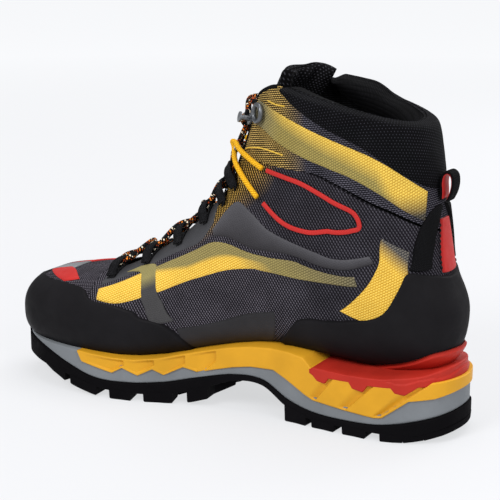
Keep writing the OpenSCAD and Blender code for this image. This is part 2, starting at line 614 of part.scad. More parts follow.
module lace_hooks() {
    color("#9a9da0") for (s = [MEDIAL, LATERAL]) on_skin(12.6, s * 0.135) {
        translate([0, 0, 1.9]) cylinder(h = 1, d = 7, $fn = 32);
        translate([0, 0, 2.4]) cylinder(h = 6, d = 3, $fn = 24);
        translate([0, 0, 8.2]) cylinder(h = 1, d = 6.4, $fn = 32);
    }
}

// ---------- heel strap and pull loop ----------
module heel_strap() {
    a = [[12.72, 0.74], [13.0, 0.765], [13.4, 0.79], [13.75, 0.83], [14.03, 0.885], [14.18, 0.94]];
    b = [[13.08, 0.86], [13.3, 0.87], [13.5, 0.89], [13.75, 0.915], [13.98, 0.95], [14.2, 0.985]];
    color("#1c1c1e") for (s = [MEDIAL, LATERAL]) panel(a, b, [air, air + 1.6], s, 10, 2);
}

module spine_strip() {
    a = [[13.06, 0.93], [13.5, 0.94], [13.95, 0.965]];
    b = [for (q = a) [q[0], 2 - q[1]]];
    color("#c8382f") panel(a, b, [air, air + 0.8], LATERAL, 6, 3);
}

// Loop standing on the back seam, folded over in the plane of the boot
loop_base = skin(14.24, 1, 0);
loop_w = 11;
function loop_path(inset) = [
    for (q = [[1.8, 1.6], [2.0, 6], [1.5, 11.5], [2.6, 15.6], [5.5, 17], [8.2, 15.2], [8.8, 10.8], [7.6, 6], [5.0, 1.6]])
        let (c = [5.2, 9.3], d = q - c) loop_base + [c[0] + d[0] * (1 - inset / 5), 0, c[1] + d[1] * (1 - inset / 9)]
];
module loop_band(inset, w, thick) {
    sweep(resample(loop_path(inset), 20), bar(w, thick), [-1, 0, 0]);
}
module pull_loop() {
    color("#1c1c1e") loop_band(0, loop_w, 1.2);
}
module pull_loop_lining() {
    color("#c8382f") loop_band(1.45, loop_w - 1.4, 0.6);
}

outsole();
midsole();
midsole_frame();
heel_insert();
shank();
lasting_board();
footbed();
toe_puff();
heel_stiffener();
foot_lining();
ankle_lining();
vamp();
quarter_medial();
quarter_lateral();
cuff_medial();
cuff_lateral();
collar();
tongue_lower();
tongue_flap();
toe_rand();
toe_patch();
toe_stripe();
heel_counter();
skirt_medial();
skirt_lateral();
lower_band_medial();
lower_band_lateral();
upper_band_medial();
upper_band_lateral();
ankle_panel_medial();
ankle_panel_lateral();
rear_stripe_medial();
rear_stripe_lateral();
eyestay_medial();
eyestay_lateral();
lace_loops_medial();
lace_loops_lateral();
cord_tape_medial();
cord_tape_lateral();
ankle_cord_medial();
ankle_cord_lateral();
eyelet_rings();
lace_hooks();
lace();
aglets();
heel_strap();
spine_strip();
pull_loop();
pull_loop_lining();
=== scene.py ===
import math

import bpy
import numpy as np
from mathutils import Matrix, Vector


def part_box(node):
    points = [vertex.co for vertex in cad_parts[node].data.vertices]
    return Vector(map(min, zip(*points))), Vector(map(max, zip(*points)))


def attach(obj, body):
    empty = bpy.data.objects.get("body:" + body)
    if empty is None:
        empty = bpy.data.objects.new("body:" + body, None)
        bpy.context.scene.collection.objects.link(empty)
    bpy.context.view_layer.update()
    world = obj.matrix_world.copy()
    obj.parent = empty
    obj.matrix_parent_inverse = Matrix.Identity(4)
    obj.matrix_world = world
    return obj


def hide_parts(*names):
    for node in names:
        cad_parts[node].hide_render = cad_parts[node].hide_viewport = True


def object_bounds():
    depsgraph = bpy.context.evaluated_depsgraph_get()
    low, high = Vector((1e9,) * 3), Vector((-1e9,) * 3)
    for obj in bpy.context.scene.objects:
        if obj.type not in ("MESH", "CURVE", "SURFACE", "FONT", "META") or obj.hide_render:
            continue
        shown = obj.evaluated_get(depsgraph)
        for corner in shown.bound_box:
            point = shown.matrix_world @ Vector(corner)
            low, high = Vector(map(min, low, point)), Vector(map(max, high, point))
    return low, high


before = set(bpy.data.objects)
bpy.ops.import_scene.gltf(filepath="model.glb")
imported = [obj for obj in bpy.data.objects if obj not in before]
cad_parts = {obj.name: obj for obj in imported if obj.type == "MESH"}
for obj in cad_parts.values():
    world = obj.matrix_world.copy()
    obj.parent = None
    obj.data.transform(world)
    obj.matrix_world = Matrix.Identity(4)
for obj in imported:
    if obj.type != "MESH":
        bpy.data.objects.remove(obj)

CAD_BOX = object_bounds()
BOOT, TONGUE, LOOP = "boot", "tongue", "loop"
MEDIAL, LATERAL = -1, 1
SIDES = (("medial", MEDIAL), ("lateral", LATERAL))
KX = (CAD_BOX[1][0] - CAD_BOX[0][0]) / 0.308
KY = (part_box("outsole")[1][1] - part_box("outsole")[0][1]) / 0.104

# Stations of the last: bottom x z, top x z, medial and lateral half width, centre y, squareness
LAST = np.array([
    [-150.5, 42.0, -150.5, 46.0, 3, 3, -6, 2.2, 2.4],
    [-147, 33, -147.5, 57, 19, 18, -6, 2.3, 2.6],
    [-138, 27, -138, 65.5, 33, 30, -5, 2.4, 3.0],
    [-120, 24, -119, 69.5, 43, 41.5, -3, 2.5, 3.2],
    [-92, 22, -93, 73.5, 49, 48, -1, 2.5, 3.4],
    [-62, 22.5, -66, 82.5, 48.5, 50, 0, 2.4, 3.4],
    [-30, 27.5, -42, 97, 43, 47, 2, 2.3, 3.2],
    [0, 35, -21.5, 114.5, 38.5, 42, 2, 2.2, 3.0],
    [32, 40, -6.5, 132, 36.5, 38.5, 2, 2.2, 2.8],
    [68, 39.5, 1, 146, 36.5, 37.5, 1, 2.2, 2.6],
    [104, 37, 5, 158, 37, 37.5, 1, 2.2, 2.4],
    [138, 45, 7.5, 167, 36.5, 37, 1, 2.2, 2.3],
    [146.5, 70, 10, 175.5, 35.5, 36, 1, 2.2, 2.3],
    [138.3, 94, 12.5, 183, 34.5, 35, 1, 2.2, 2.3],
    [132.5, 128, 15, 190, 35, 35.5, 1, 2.2, 2.3],
    [127, 158, 18, 197, 36, 36.5, 1, 2.2, 2.3],
    [121.5, 182, 21, 203, 36.5, 37, 1, 2.2, 2.3],
])
# Stations of the sole: x, medial y, lateral y, then the tread plate's underside and its top
SOLE = np.array([
    [-154, -6, -6, 14.5, 26],
    [-150, -21, 9, 14.5, 27],
    [-140, -34, 22, 14.5, 28],
    [-122, -46, 38, 14, 26],
    [-100, -51, 47, 11, 18.5],
    [-78, -52, 51, 6.5, 12.3],
    [-55, -49, 52, 5, 11.6],
    [-32, -42, 49, 6, 13.6],
    [-10, -36, 45.5, 11, 18.5],
    [12, -33, 42, 19, 23],
    [32, -32.5, 40.5, 19.5, 22.8],
    [50, -33.5, 39.5, 9, 13.5],
    [68, -35.5, 39, 4.5, 9.3],
    [90, -37, 38.5, 4.5, 8.6],
    [112, -37, 38, 4.5, 9.8],
    [132, -31.5, 33, 3.5, 13],
    [148, -19, 21, 8, 16.5],
    [154, 1, 1, 10, 18.5],
])
TAIL = len(SOLE) - 1


# ---------- curves and the last surface ----------
def smooth(rows, t, closed=False):
    """Smooth curve through the rows of a table, at fractional row numbers t."""
    rows, t = np.asarray(rows, float), np.asarray(t, float)
    n = len(rows)
    last = n if closed else n - 1
    i = np.clip(np.floor(t).astype(int), 0, last - 1)
    f = (t - i)[..., None]
    pick = (lambda k: rows[k % n]) if closed else (lambda k: rows[np.clip(k, 0, n - 1)])
    a, b, c, d = pick(i - 1), pick(i), pick(i + 1), pick(i + 2)
    g = np.clip(f, 0, 1)
    cubic = (3 * b - a - 3 * c + d) * g ** 3
    inside = 0.5 * (2 * b + (c - a) * g + (2 * a - 5 * b + 4 * c - d) * g ** 2 + cubic)
    return inside + (c - b) * (f - g)


def resample(rows, n):
    return smooth(rows, np.linspace(0, len(rows) - 1, n + 1))


def place(t, p):
    t, p = np.broadcast_arrays(np.asarray(t, float), np.asarray(p, float))
    s = smooth(LAST, t)
    c, v = np.cos(np.pi * p), np.sin(np.pi * p)
    n = np.where(c < 0, s[..., 8], s[..., 7])
    r = 0.5 + 0.5 * np.sign(c) * np.abs(c) ** (2 / n)
    w = np.where(v < 0, s[..., 4], s[..., 5]) * np.sign(v) * np.abs(v) ** (2 / n)
    x = s[..., 0] + (s[..., 2] - s[..., 0]) * r
    z = s[..., 1] + (s[..., 3] - s[..., 1]) * r
    return np.stack([KX * x, KY * (s[..., 6] + w), z], -1)


def outward(t, p, h=0.02):
    t = np.maximum(t, 0.05)
    n = np.cross(place(t + h, p) - place(t - h, p), place(t, p + h) - place(t, p - h))
    return n / np.maximum(np.linalg.norm(n, axis=-1, keepdims=True), 1e-9)


def skin(t, p, depth=0.0):
    return place(t, p) + np.asarray(depth)[..., None] * outward(t, p)


def ease(x):
    x = np.clip(x, 0, 1)
    return x * x * (3 - 2 * x)


def rounded(far, edge):
    """Share of the full height at a distance from the border, for a border rounded over edge."""
    return np.sqrt(1 - (1 - np.clip(far / edge, 0, 1)) ** 2)


def turned(rows):
    """The same edge on the other side of the lacing line."""
    return [[q[0], -q[1]] for q in rows]


def behind(rows):
    """The same edge on the other side of the back seam."""
    return [[t, 2 - p] for t, p in rows]


def mirrored(rows):
    """Continues an edge that ends on the back seam round to the other side."""
    return behind(rows[-2::-1])


def run_length(points):
    """Distance along a path at each of its points."""
    return np.concatenate([[0], np.cumsum(np.linalg.norm(np.diff(points, axis=0), axis=1))])


def ripple(points, size, seed=0.0):
    """Soft unevenness from -1 to 1, from a few sine waves, the same in every run."""
    q = np.asarray(points) / size
    x, y, z = q[..., 0] + seed, q[..., 1] - 2 * seed, q[..., 2] + 3 * seed
    a = np.sin(1.7 * x + 1.3 * z + 0.7 * np.sin(1.1 * y + z))
    b = np.sin(2.3 * z - 1.9 * x + 1.1 * np.sin(0.8 * x + 1.3 * y))
    return 0.5 * (a + b) * np.cos(0.6 * y + 0.9 * x + 0.4 * z)


# ---------- mesh building ----------
def mesh_object(name, verts, faces):
    me = bpy.data.meshes.new(name)
    me.from_pydata([tuple(v) for v in verts], [], [tuple(int(i) for i in f) for f in faces])
    ob = bpy.data.objects.new(name, me)
    bpy.context.scene.collection.objects.link(ob)
    return ob


def new_object(name, verts, faces, material, body=BOOT, smooth_faces=True, slot=None, replaces=()):
    """Piece of the visual, from points in millimetres."""
    ob = mesh_object(name, np.asarray(verts) * 0.001, faces)
    me = ob.data
    me.validate()
    if smooth_faces:
        me.polygons.foreach_set("use_smooth", [True] * len(me.polygons))
    me.materials.append(material)
    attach(ob, body)
    if replaces:
        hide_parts(*replaces)
    return ob


def grid_faces(n, m, base=0, flip=False):
    i, j = np.meshgrid(np.arange(n - 1), np.arange(m - 1), indexing="ij")
    a = (base + i * m + j).ravel()
    f = np.stack([a, a + m, a + m + 1, a + 1], 1)
    return f[:, ::-1] if flip else f


def rim_index(n, m):
    """The border of a grid, once round."""
    top = list(range(m))
    right = [i * m + m - 1 for i in range(1, n)]
    low = [(n - 1) * m + j for j in range(m - 2, -1, -1)]
    left = [i * m for i in range(n - 2, 0, -1)]
    return np.array(top + right + low + left)


def ring_faces(n, m, base=0):
    """Faces between n rings of m points each, closed by a face at both ends."""
    faces = []
    for i in range(n - 1):
        for j in range(m):
            a, b = base + i * m + j, base + i * m + (j + 1) % m
            faces.append((a, b, b + m, a + m))
    top = base + (n - 1) * m
    return faces + [tuple(range(base + m - 1, base - 1, -1)), tuple(range(top, top + m))]


def set_uv(ob, name, per_vertex):
    layer = ob.data.uv_layers.get(name) or ob.data.uv_layers.new(name=name)
    loops = np.zeros(len(ob.data.loops), int)
    ob.data.loops.foreach_get("vertex_index", loops)
    layer.data.foreach_set("uv", np.asarray(per_vertex, float)[loops].ravel())


def flat_layout(points):
    """Lays a grid of points out flat, keeping angles, at true size in millimetres, with +X and +Z
    of the boot along u and v."""
    n, m = points.shape[:2]
    ob = mesh_object("layout", points.reshape(-1, 3) * 0.001, grid_faces(n, m))
    me = ob.data
    me.uv_layers.new(name="flat")
    bpy.ops.object.select_all(action="DESELECT")
    ob.select_set(True)
    bpy.context.view_layer.objects.active = ob
    bpy.ops.object.mode_set(mode="EDIT")
    bpy.ops.mesh.select_all(action="SELECT")
    bpy.ops.uv.unwrap(method="CONFORMAL", margin=0.0)
    bpy.ops.object.mode_set(mode="OBJECT")
    loops = np.zeros(len(me.loops), int)
    me.loops.foreach_get("vertex_index", loops)
    uv = np.zeros(len(me.loops) * 2)
    me.uv_layers["flat"].data.foreach_get("uv", uv)
    flat = np.zeros((n * m, 2))
    flat[loops] = uv.reshape(-1, 2)
    bpy.data.objects.remove(ob)
    bpy.data.meshes.remove(me)
    goal = points.reshape(-1, 3)[:, [0, 2]]
    z = (flat[:, 0] - flat[:, 0].mean()) + 1j * (flat[:, 1] - flat[:, 1].mean())
    w = (goal[:, 0] - goal[:, 0].mean()) + 1j * (goal[:, 1] - goal[:, 1].mean())
    turn, flipped = np.vdot(z, w), np.vdot(np.conj(z), w)
    if abs(flipped) >= abs(turn):
        turn, z = flipped, np.conj(z)
    flat_size = np.linalg.norm(np.diff(flat.reshape(n, m, 2), axis=0), axis=-1).sum()
    size = np.linalg.norm(np.diff(points, axis=0), axis=-1).sum() / flat_size
    z = z * size * turn / abs(turn) + goal[:, 0].mean() + 1j * goal[:, 1].mean()
    return np.stack([z.real, z.imag], 1)


def shell(name, inner, outer, material, spots, lining=None, **where):
    """Closed shell between two grids of points, with its cloth layout, its own 0 to 1 map and a map of
    spots, its places on the last. A lining covers its inner side."""
    n, m = outer.shape[:2]
    di, dj = outer[1:, :-1] - outer[:-1, :-1], outer[:-1, 1:] - outer[:-1, :-1]
    facing = (np.cross(di, dj) * (outer - inner)[:-1, :-1]).sum() > 0
    rim = rim_index(n, m)
    nxt = np.roll(rim, -1)
    gap, cells = n * m, (n - 1) * (m - 1)
    wall = np.stack([rim, rim + gap, nxt + gap, nxt], 1)
    if not facing:
        wall = wall[:, ::-1]
    faces = np.concatenate([grid_faces(n, m, 0, facing), grid_faces(n, m, gap, not facing), wall[:, ::-1]])
    verts = np.concatenate([inner.reshape(-1, 3), outer.reshape(-1, 3)])
    ob = new_object(name, verts, faces, material, **where)
    if lining:
        ob.data.materials.append(lining)
        ob.data.polygons.foreach_set("material_index", [int(i < cells) for i in range(len(faces))])
    u, v = np.meshgrid(np.linspace(0, 1, n), np.linspace(0, 1, m), indexing="ij")
    own = np.stack([u.ravel(), v.ravel()], 1)
    at = np.stack([spots[0].ravel() / 16, np.abs(spots[1]).ravel()], 1)
    for layer, uv in (("cloth", flat_layout(outer) * 0.001), ("panel", own), ("place", at)):
        set_uv(ob, layer, np.concatenate([uv, uv]))
    return ob


def edge_distance(points):
    """Millimetres from each grid point to the nearest side of the grid."""
    du = np.linalg.norm(np.diff(points, axis=0), axis=-1)
    dv = np.linalg.norm(np.diff(points, axis=1), axis=-1)
    zu, zv = np.zeros((1, points.shape[1])), np.zeros((points.shape[0], 1))
    u0 = np.concatenate([zu, np.cumsum(du, 0)])
    u1 = np.concatenate([np.cumsum(du[::-1], 0)[::-1], zu])
    v0 = np.concatenate([zv, np.cumsum(dv, 1)], 1)
    v1 = np.concatenate([np.cumsum(dv[:, ::-1], 1)[:, ::-1], zv], 1)
    return np.minimum(np.minimum(u0, u1), np.minimum(v0, v1))


def places_between(edge_a, edge_b, nu, nv, side):
    a, b = resample(edge_a, nu), resample(edge_b, nu)
    f = np.linspace(0, 1, nv + 1)[None, :, None]
    q = a[:, None, :] * (1 - f) + b[:, None, :] * f
    return q[..., 0], side * q[..., 1]


def laid(name, t, p, far, edge, base, height, sink, material, relief, **where):
    """Layer on the last whose border is rounded down into what lies below."""
    depth = base - 0.15 + (height + 0.15) * rounded(far, edge)
    if relief:
        depth = depth + relief(t, p, far)
    return shell(name, skin(t, p, np.full(t.shape, base - sink)), skin(t, p, depth), material, (t, p),
                 **where)


def film(name, edge_a, edge_b, side, height, material, base=0.0, edge=1.2, nu=90, nv=24, sink=0.35,
         relief=None, **where):
    """Layer laid on the last between two edges."""
    t, p = places_between(edge_a, edge_b, nu, nv, side)
    laid(name, t, p, edge_distance(place(t, p)), edge, base, height, sink, material, relief, **where)


def toe_film(name, edge, height, material, lip=1.5, nu=150, nv=60, relief=None, **where):
    """Cap over the toe from its tip to an edge of [along, around] places."""
    e = resample(edge, nu)
    k = np.linspace(0.02, 1, nv + 1)[None, :]
    t, p = e[:, :1] * k, np.repeat(e[:, 1:], nv + 1, 1)
    dv = np.linalg.norm(np.diff(place(t, p), axis=1), axis=-1)
    far = np.concatenate([np.cumsum(dv[:, ::-1], 1)[:, ::-1], np.zeros((nu + 1, 1))], 1)
    laid(name, t, p, far, lip, 0.0, height, 0.6, material, relief, **where)


def frames(path, first):
    """Tangents, sides and ups carried along a path without twist."""
    tan = np.gradient(path, axis=0)
    tan /= np.linalg.norm(tan, axis=1, keepdims=True)
    ups = [np.asarray(first, float)]
    for k in range(len(path)):
        u = ups[-1] - (ups[-1] @ tan[k]) * tan[k]
        ups.append(u / np.linalg.norm(u))
    ups = np.array(ups[1:])
    return tan, np.cross(tan, ups), ups


def sweep(name, path, outline, first, material, ups=None, **where):
    """Sweeps an outline of [sideways, upwards] points along a path, closed by a face at each end."""
    path, outline = np.asarray(path, float), np.asarray(outline, float)
    tan, side, up = frames(path, first)
    if ups is not None:
        up = ups - (ups * tan).sum(1, keepdims=True) * tan
        up /= np.linalg.norm(up, axis=1, keepdims=True)
        side = np.cross(tan, up)
    rings = path[:, None] + outline[None, :, :1] * side[:, None] + outline[None, :, 1:] * up[:, None]
    n, m = len(path), len(outline)
    faces = [face[::-1] for face in ring_faces(n, m)]
    ob = new_object(name, rings.reshape(-1, 3), faces, material, **where)
    set_uv(ob, "cloth", np.stack([np.repeat(run_length(path), m) * 0.001, np.tile(np.arange(m) / m, n)], 1))


def disc(d, sides=12):
    a = np.linspace(0, 2 * np.pi, sides, endpoint=False)
    return np.stack([np.cos(a), np.sin(a)], 1) * d / 2


def strap(w, h, r):
    """Flat strap section with rounded edges, standing on its lower face."""
    return np.array([[-w / 2 + r, 0], [w / 2 - r, 0], [w / 2, r], [w / 2, h - r], [w / 2 - r, h],
                     [w / 4, h + 0.08], [0, h + 0.1], [-w / 4, h + 0.08], [-w / 2 + r, h],
                     [-w / 2, h - r], [-w / 2, r]])


def route(places, side, n):
    """Path along [along, around, depth] places, with the last's outward direction at each point."""
    q = resample(places, n)
    return skin(q[:, 0], side * q[:, 1], q[:, 2]), outward(q[:, 0], side * q[:, 1])


# ---------- materials ----------
def srgb(code, gain=1.0):
    c = [int(code[i:i + 2], 16) / 255 for i in (1, 3, 5)]
    return [min(1, gain * (v / 12.92 if v <= 0.04045 else ((v + 0.055) / 1.055) ** 2.4)) for v in c] + [1]


class Shade:
    """A material being built: short names for the nodes that the surfaces use."""

    def __init__(self, name, roughness, specular, metallic=0.0):
        self.mat = bpy.data.materials.new(name)
        self.mat.use_nodes = True
        self.tree = self.mat.node_tree
        self.bsdf = self.tree.nodes["Principled BSDF"]
        self.bsdf.inputs["Roughness"].default_value = roughness
        self.bsdf.inputs["Specular IOR Level"].default_value = specular
        self.bsdf.inputs["Metallic"].default_value = metallic
        self.relief = None

    def node(self, kind, **props):
        n = self.tree.nodes.new("ShaderNode" + kind)
        for k, v in props.items():
            setattr(n, k, v)
        return n

    def put(self, socket, value):
        if isinstance(value, bpy.types.NodeSocket):
            self.tree.links.new(value, socket)
        elif value is not None:
            socket.default_value = value

    def math(self, op, a, b=None, clamp=False):
        n = self.node("Math", operation=op, use_clamp=clamp)
        self.put(n.inputs[0], a)
        self.put(n.inputs[1], b)
        return n.outputs[0]

    def add(self, a, b):
        return self.math("ADD", a, b)

    def sub(self, a, b):
        return self.math("SUBTRACT", a, b)

    def mul(self, a, b):
        return self.math("MULTIPLY", a, b)

    def uv(self, name):
        return self.node("UVMap", uv_map=name).outputs[0]

    def xy(self, vector):
        n = self.node("SeparateXYZ")
        self.put(n.inputs[0], vector)
        return n.outputs[0], n.outputs[1]

    def object_space(self):
        return self.node("TexCoord").outputs["Object"]

    def noise(self, scale, detail=3.0):
        n = self.node("TexNoise")
        self.put(n.inputs["Vector"], self.object_space())
        n.inputs["Scale"].default_value = scale
        n.inputs["Detail"].default_value = detail
        n.inputs["Roughness"].default_value = 0.55
        return n.outputs[0]

    def ramp(self, value, low, high, to_low=0.0, to_high=1.0):
        n = self.node("MapRange", clamp=True)
        for k, v in enumerate((value, low, high, to_low, to_high)):
            self.put(n.inputs[k], v)
        return n.outputs[0]

    def mix(self, factor, a, b):
        n = self.node("Mix", data_type="RGBA")
        self.put(n.inputs[0], factor)
        self.put(n.inputs[6], a)
        self.put(n.inputs[7], b)
        return n.outputs[2]

    def value(self, colour, gain):
        n = self.node("HueSaturation")
        self.put(n.inputs["Color"], colour)
        self.put(n.inputs["Value"], gain)
        return n.outputs[0]

    def colour(self, value):
        self.put(self.bsdf.inputs["Base Color"], value)

    def rough(self, value):
        self.put(self.bsdf.inputs["Roughness"], value)

    def bump(self, height, distance):
        n = self.node("Bump")
        n.inputs["Strength"].default_value = 1.0
        n.inputs["Distance"].default_value = distance
        self.put(n.inputs["Height"], height)
        if self.relief is not None:
            self.put(n.inputs["Normal"], self.relief)
        self.relief = n.outputs[0]
        self.put(self.bsdf.inputs["Normal"], self.relief)

    def knobs(self, uv, wide, tall, angle=0.0, fill=(0.46, 0.46), lean=0.0, shift=0.5):
        """Rows of rounded threads, each row shifted on the last: 1 on a thread, 0 in a gap."""
        x, y = self.xy(uv)
        c, s = math.cos(angle), math.sin(angle)
        u = self.add(self.mul(x, c / wide), self.mul(y, s / wide))
        v = self.sub(self.mul(y, c / tall), self.mul(x, s / tall))
        u = self.add(u, self.mul(self.math("FLOOR", v), shift))
        fu, fv = (self.sub(self.math("FRACT", q), 0.5) for q in (u, v))
        fu = self.sub(fu, self.mul(fv, lean)) if lean else fu
        squares = [self.math("POWER", self.mul(q, 1 / f), 2.0) for q, f in zip((fu, fv), fill)]
        return self.math("SUBTRACT", 1.0, self.add(*squares), clamp=True)


def woven(name, colours, wide, tall, angle, fill, lean, depth, vary=0.25, shift=0.5, soft=0.35):
    """Cloth of raised threads over a ground, from the codes of both colours or a function for them."""
    s = Shade(name, 0.85, 0.06)
    raised = s.knobs(s.uv("cloth"), wide, tall, angle, fill, lean, shift)
    low, high = colours(s) if callable(colours) else (srgb(code) for code in colours)
    cloth = s.mix(s.ramp(raised, 0.02, soft), low, high)
    s.colour(s.value(cloth, s.ramp(s.noise(70.0), 0.3, 0.7, 1 - vary, 1 + vary)))
    fuzz = s.noise(2200.0, detail=1.0)
    s.bump(s.add(raised, s.mul(fuzz, 0.3)), depth)
    return s.mat


def quarter_colours(s):
    """Gold threads up the front by the lacing, grey ones elsewhere."""
    along, around = s.xy(s.uv("place"))
    front = s.mul(s.ramp(around, 0.33, 0.25), s.ramp(along, 0.42, 0.50))
    ankle = s.ramp(along, 0.56, 0.64)
    thread = s.mix(ankle, srgb("#625e66"), srgb("#4a484f"))
    return s.mix(front, srgb("#18161b"), srgb("#1f160b")), s.mix(front, thread, srgb("#c79f4e"))


def cuff_colours(s):
    """Gold threads at the front, grey ones behind."""
    back = s.ramp(s.xy(s.uv("place"))[1], 0.34, 0.44)
    return s.mix(back, srgb("#1f160b"), srgb("#15141a")), s.mix(back, srgb("#c9a861"), srgb("#57555e"))


def lower_band_colours(s):
    """Bright mesh along the lower half, khaki film above it, all greying towards the back."""
    u, v = s.xy(s.uv("panel"))
    line = s.ramp(u, 0.10, 0.30, 0.0, 0.50)
    bright = s.mul(s.ramp(s.sub(v, line), -0.06, 0.10), s.ramp(u, 0.52, 0.66, 1.0, 0.0))
    grey = s.mul(s.ramp(u, 0.72, 1.0), 0.8)
    low = s.mix(bright, srgb("#756a42"), srgb("#c9962b"))
    high = s.mix(bright, srgb("#998b57"), srgb("#f0ca5c"))
    return s.mix(grey, low, srgb("#35332f")), s.mix(grey, high, srgb("#6d685a"))


def upper_band_colours(s):
    """Bright mesh along the top, khaki film below, grey round the ring and fading out at the back."""
    u, v = s.xy(s.uv("panel"))
    line = s.add(s.ramp(u, 0.10, 0.62, -0.04, 0.42), s.ramp(u, 0.70, 0.90, 0.0, 0.9))
    bright = s.ramp(s.sub(line, v), -0.30, 0.18)
    ring = s.ramp(u, 0.30, 0.10)
    fade = s.ramp(s.add(u, s.mul(v, 0.30)), 1.0, 1.22)
    low = s.mix(bright, srgb("#766a3c"), srgb("#bd9233"))
    high = s.mix(bright, srgb("#a09053"), srgb("#e6c45a"))
    low, high = s.mix(fade, low, srgb("#25221f")), s.mix(fade, high, srgb("#5d584e"))
    return s.mix(ring, low, srgb("#5f5a48")), s.mix(ring, high, srgb("#857e62"))


def rear_stripe_colours(s):
    """Bright mesh that fades out at its upper end."""
    u, v = s.xy(s.uv("panel"))
    top = s.ramp(s.add(u, s.mul(v, -0.10)), 0.02, 0.26)
    return s.mix(top, srgb("#2f2e33"), srgb("#c4932b")), s.mix(top, srgb("#6c6860"), srgb("#e8c257"))


def rubber(name, colour, roughness=0.6, grain=0.00005, specular=0.06):
    """Matt rubber with worn, paler patches and a fine grain."""
    s = Shade(name, roughness, specular)
    wear = s.ramp(s.noise(28.0, detail=5.0), 0.4, 0.75)
    s.colour(s.mix(wear, srgb(colour), srgb(colour, 1.5)))
    s.rough(s.ramp(s.noise(90.0), 0.3, 0.7, roughness - 0.1, roughness + 0.12))
    s.bump(s.noise(2400.0, detail=2.0), grain)
    s.bump(s.noise(160.0, detail=2.0), grain * 3)
    return s.mat


def moulded(name, colour, roughness=0.5, grain=0.00003, shade=0.82):
    """Moulded plastic or foam, a little uneven in colour and gloss."""
    s = Shade(name, roughness, 0.15)
    s.colour(s.mix(s.ramp(s.noise(40.0, detail=4.0), 0.35, 0.75), srgb(colour), srgb(colour, shade)))
    s.rough(s.ramp(s.noise(150.0), 0.3, 0.7, roughness - 0.07, roughness + 0.1))
    s.bump(s.noise(1800.0, detail=2.0), grain)
    return s.mat


def fused(name, colour, edge_colour, across=True, weave=0.00012, begin=0.0, end=1.0):
    """Film fused over the weave, which shows through as a faint relief."""
    s = Shade(name, 0.55, 0.12)
    u, v = s.xy(s.uv("panel"))
    tone = s.ramp(v if across else u, begin, end)
    tint = s.mix(tone, srgb(edge_colour), srgb(colour))
    s.colour(s.value(tint, s.ramp(s.noise(60.0), 0.3, 0.7, 0.88, 1.1)))
    s.bump(s.knobs(s.uv("cloth"), 0.0017, 0.0013, 0.4), weave)
    s.bump(s.noise(1500.0, detail=2.0), 0.00004)
    return s.mat


def braid(name, colour, other, flecks=(), pitch=0.0016):
    """Round braid: the cloth map runs in metres along the cord and from 0 to 1 round it."""
    s = Shade(name, 0.75, 0.08)
    u, v = s.xy(s.uv("cloth"))
    join = s.node("CombineXYZ")
    s.put(join.inputs[0], s.mul(u, 1 / pitch))
    s.put(join.inputs[1], s.mul(v, 6.0))
    plait = s.knobs(join.outputs[0], 1.0, 1.0, 0.785, (0.5, 0.36))
    body = s.mix(s.ramp(plait, 0.0, 0.4), srgb(other), srgb(colour))
    for tint, start, share in flecks:
        run = s.math("FRACT", s.add(s.mul(u, 1 / 0.0105), s.mul(s.math("ROUND", s.mul(v, 3.0)), 0.37)))
        spot = s.mul(s.math("GREATER_THAN", run, start), s.math("LESS_THAN", run, start + share))
        body = s.mix(s.mul(spot, s.ramp(plait, 0.05, 0.3)), body, srgb(tint))
    s.colour(body)
    s.bump(s.add(plait, s.mul(s.noise(2500.0, detail=1.0), 0.2)), 0.00035)
    return s.mat


MESH = (0.0017, 0.0014, 0.5, (0.5, 0.44), 0, 0.00028, {"vary": 0.06})
DASHES = (0.0019, 0.0015, 0, (0.24, 0.52))
CLOTHS = {  # colours, thread pitch across and along in metres, angle, fill, lean, relief, options
    "weave": (quarter_colours, *DASHES, -0.25, 0.00035, {"vary": 0.2}),
    "toe_weave": (("#18161b", "#625e66"), *DASHES, 0.2, 0.00035, {"vary": 0.2}),
    "cuff_weave": (cuff_colours, 0.0019, 0.0012, 0.12, (0.46, 0.30), 0, 0.0003, {}),
    "knobbly": (("#08080a", "#34343a"), 0.0017, 0.0014, 0, (0.22, 0.22), 0, 0.0004, {"soft": 0.6}),
    "tongue_mesh": (("#070708", "#3b3b40"), 0.0026, 0.0013, 0, (0.26, 0.26), 0, 0.0005, {"soft": 0.6}),
    "lining_mesh": (("#060607", "#19191b"), 0.0034, 0.0012, 0, (0.5, 0.30), 0, 0.0006,
                    {"vary": 0.2, "shift": 0.1}),
    "lower_band": (lower_band_colours, *MESH),
    "upper_band": (upper_band_colours, *MESH),
    "rear_stripe": (rear_stripe_colours, *MESH),
    "webbing": (("#060607", "#171719"), 0.0011, 0.0007, 0.8, (0.48, 0.4), 0, 0.0002,
                {"vary": 0.1, "soft": 0.5}),
    "loop_webbing": (("#0b0b0c", "#2c2c2f"), 0.0013, 0.0008, 0, (0.5, 0.4), 0, 0.0002,
                     {"vary": 0.15, "soft": 0.5}),
}
FILMS = {  # colour, colour at the lower edge, options
    "strut": ("#403f40", "#857c50", {"across": False, "begin": 0.45, "end": 0.62}),
    "grey_film": ("#2b292c", "#4d4c50", {}),
    "skirt": ("#343336", "#2a292b", {"weave": 0.00004}),
    "pale_film": ("#3f3f42", "#2b2b2d", {"weave": 0.00005}),
    "patch": ("#66686b", "#7d7f82", {"weave": 0.00004}),
}
MOULDED = {  # colour, then roughness, grain and shade where they differ
    "foam": ("#777b7f", 0.6, 0.00006),
    "frame": ("#d49a24", 0.45, 0.00003, 0.85),
    "insert": ("#b12b20", 0.45),
    "red_tape": ("#b92a27", 0.5, 0.00012),
    "thread_black": ("#0e0e0f", 0.6),
    "thread_grey": ("#5c5d61", 0.6),
    "weld": ("#d9b247", 0.5),
    "board": ("#b59c6a", 0.8, 0.0002),
    "nylon": ("#34373b", 0.5),
    "stiffener": ("#ddd3b4", 0.6),
}
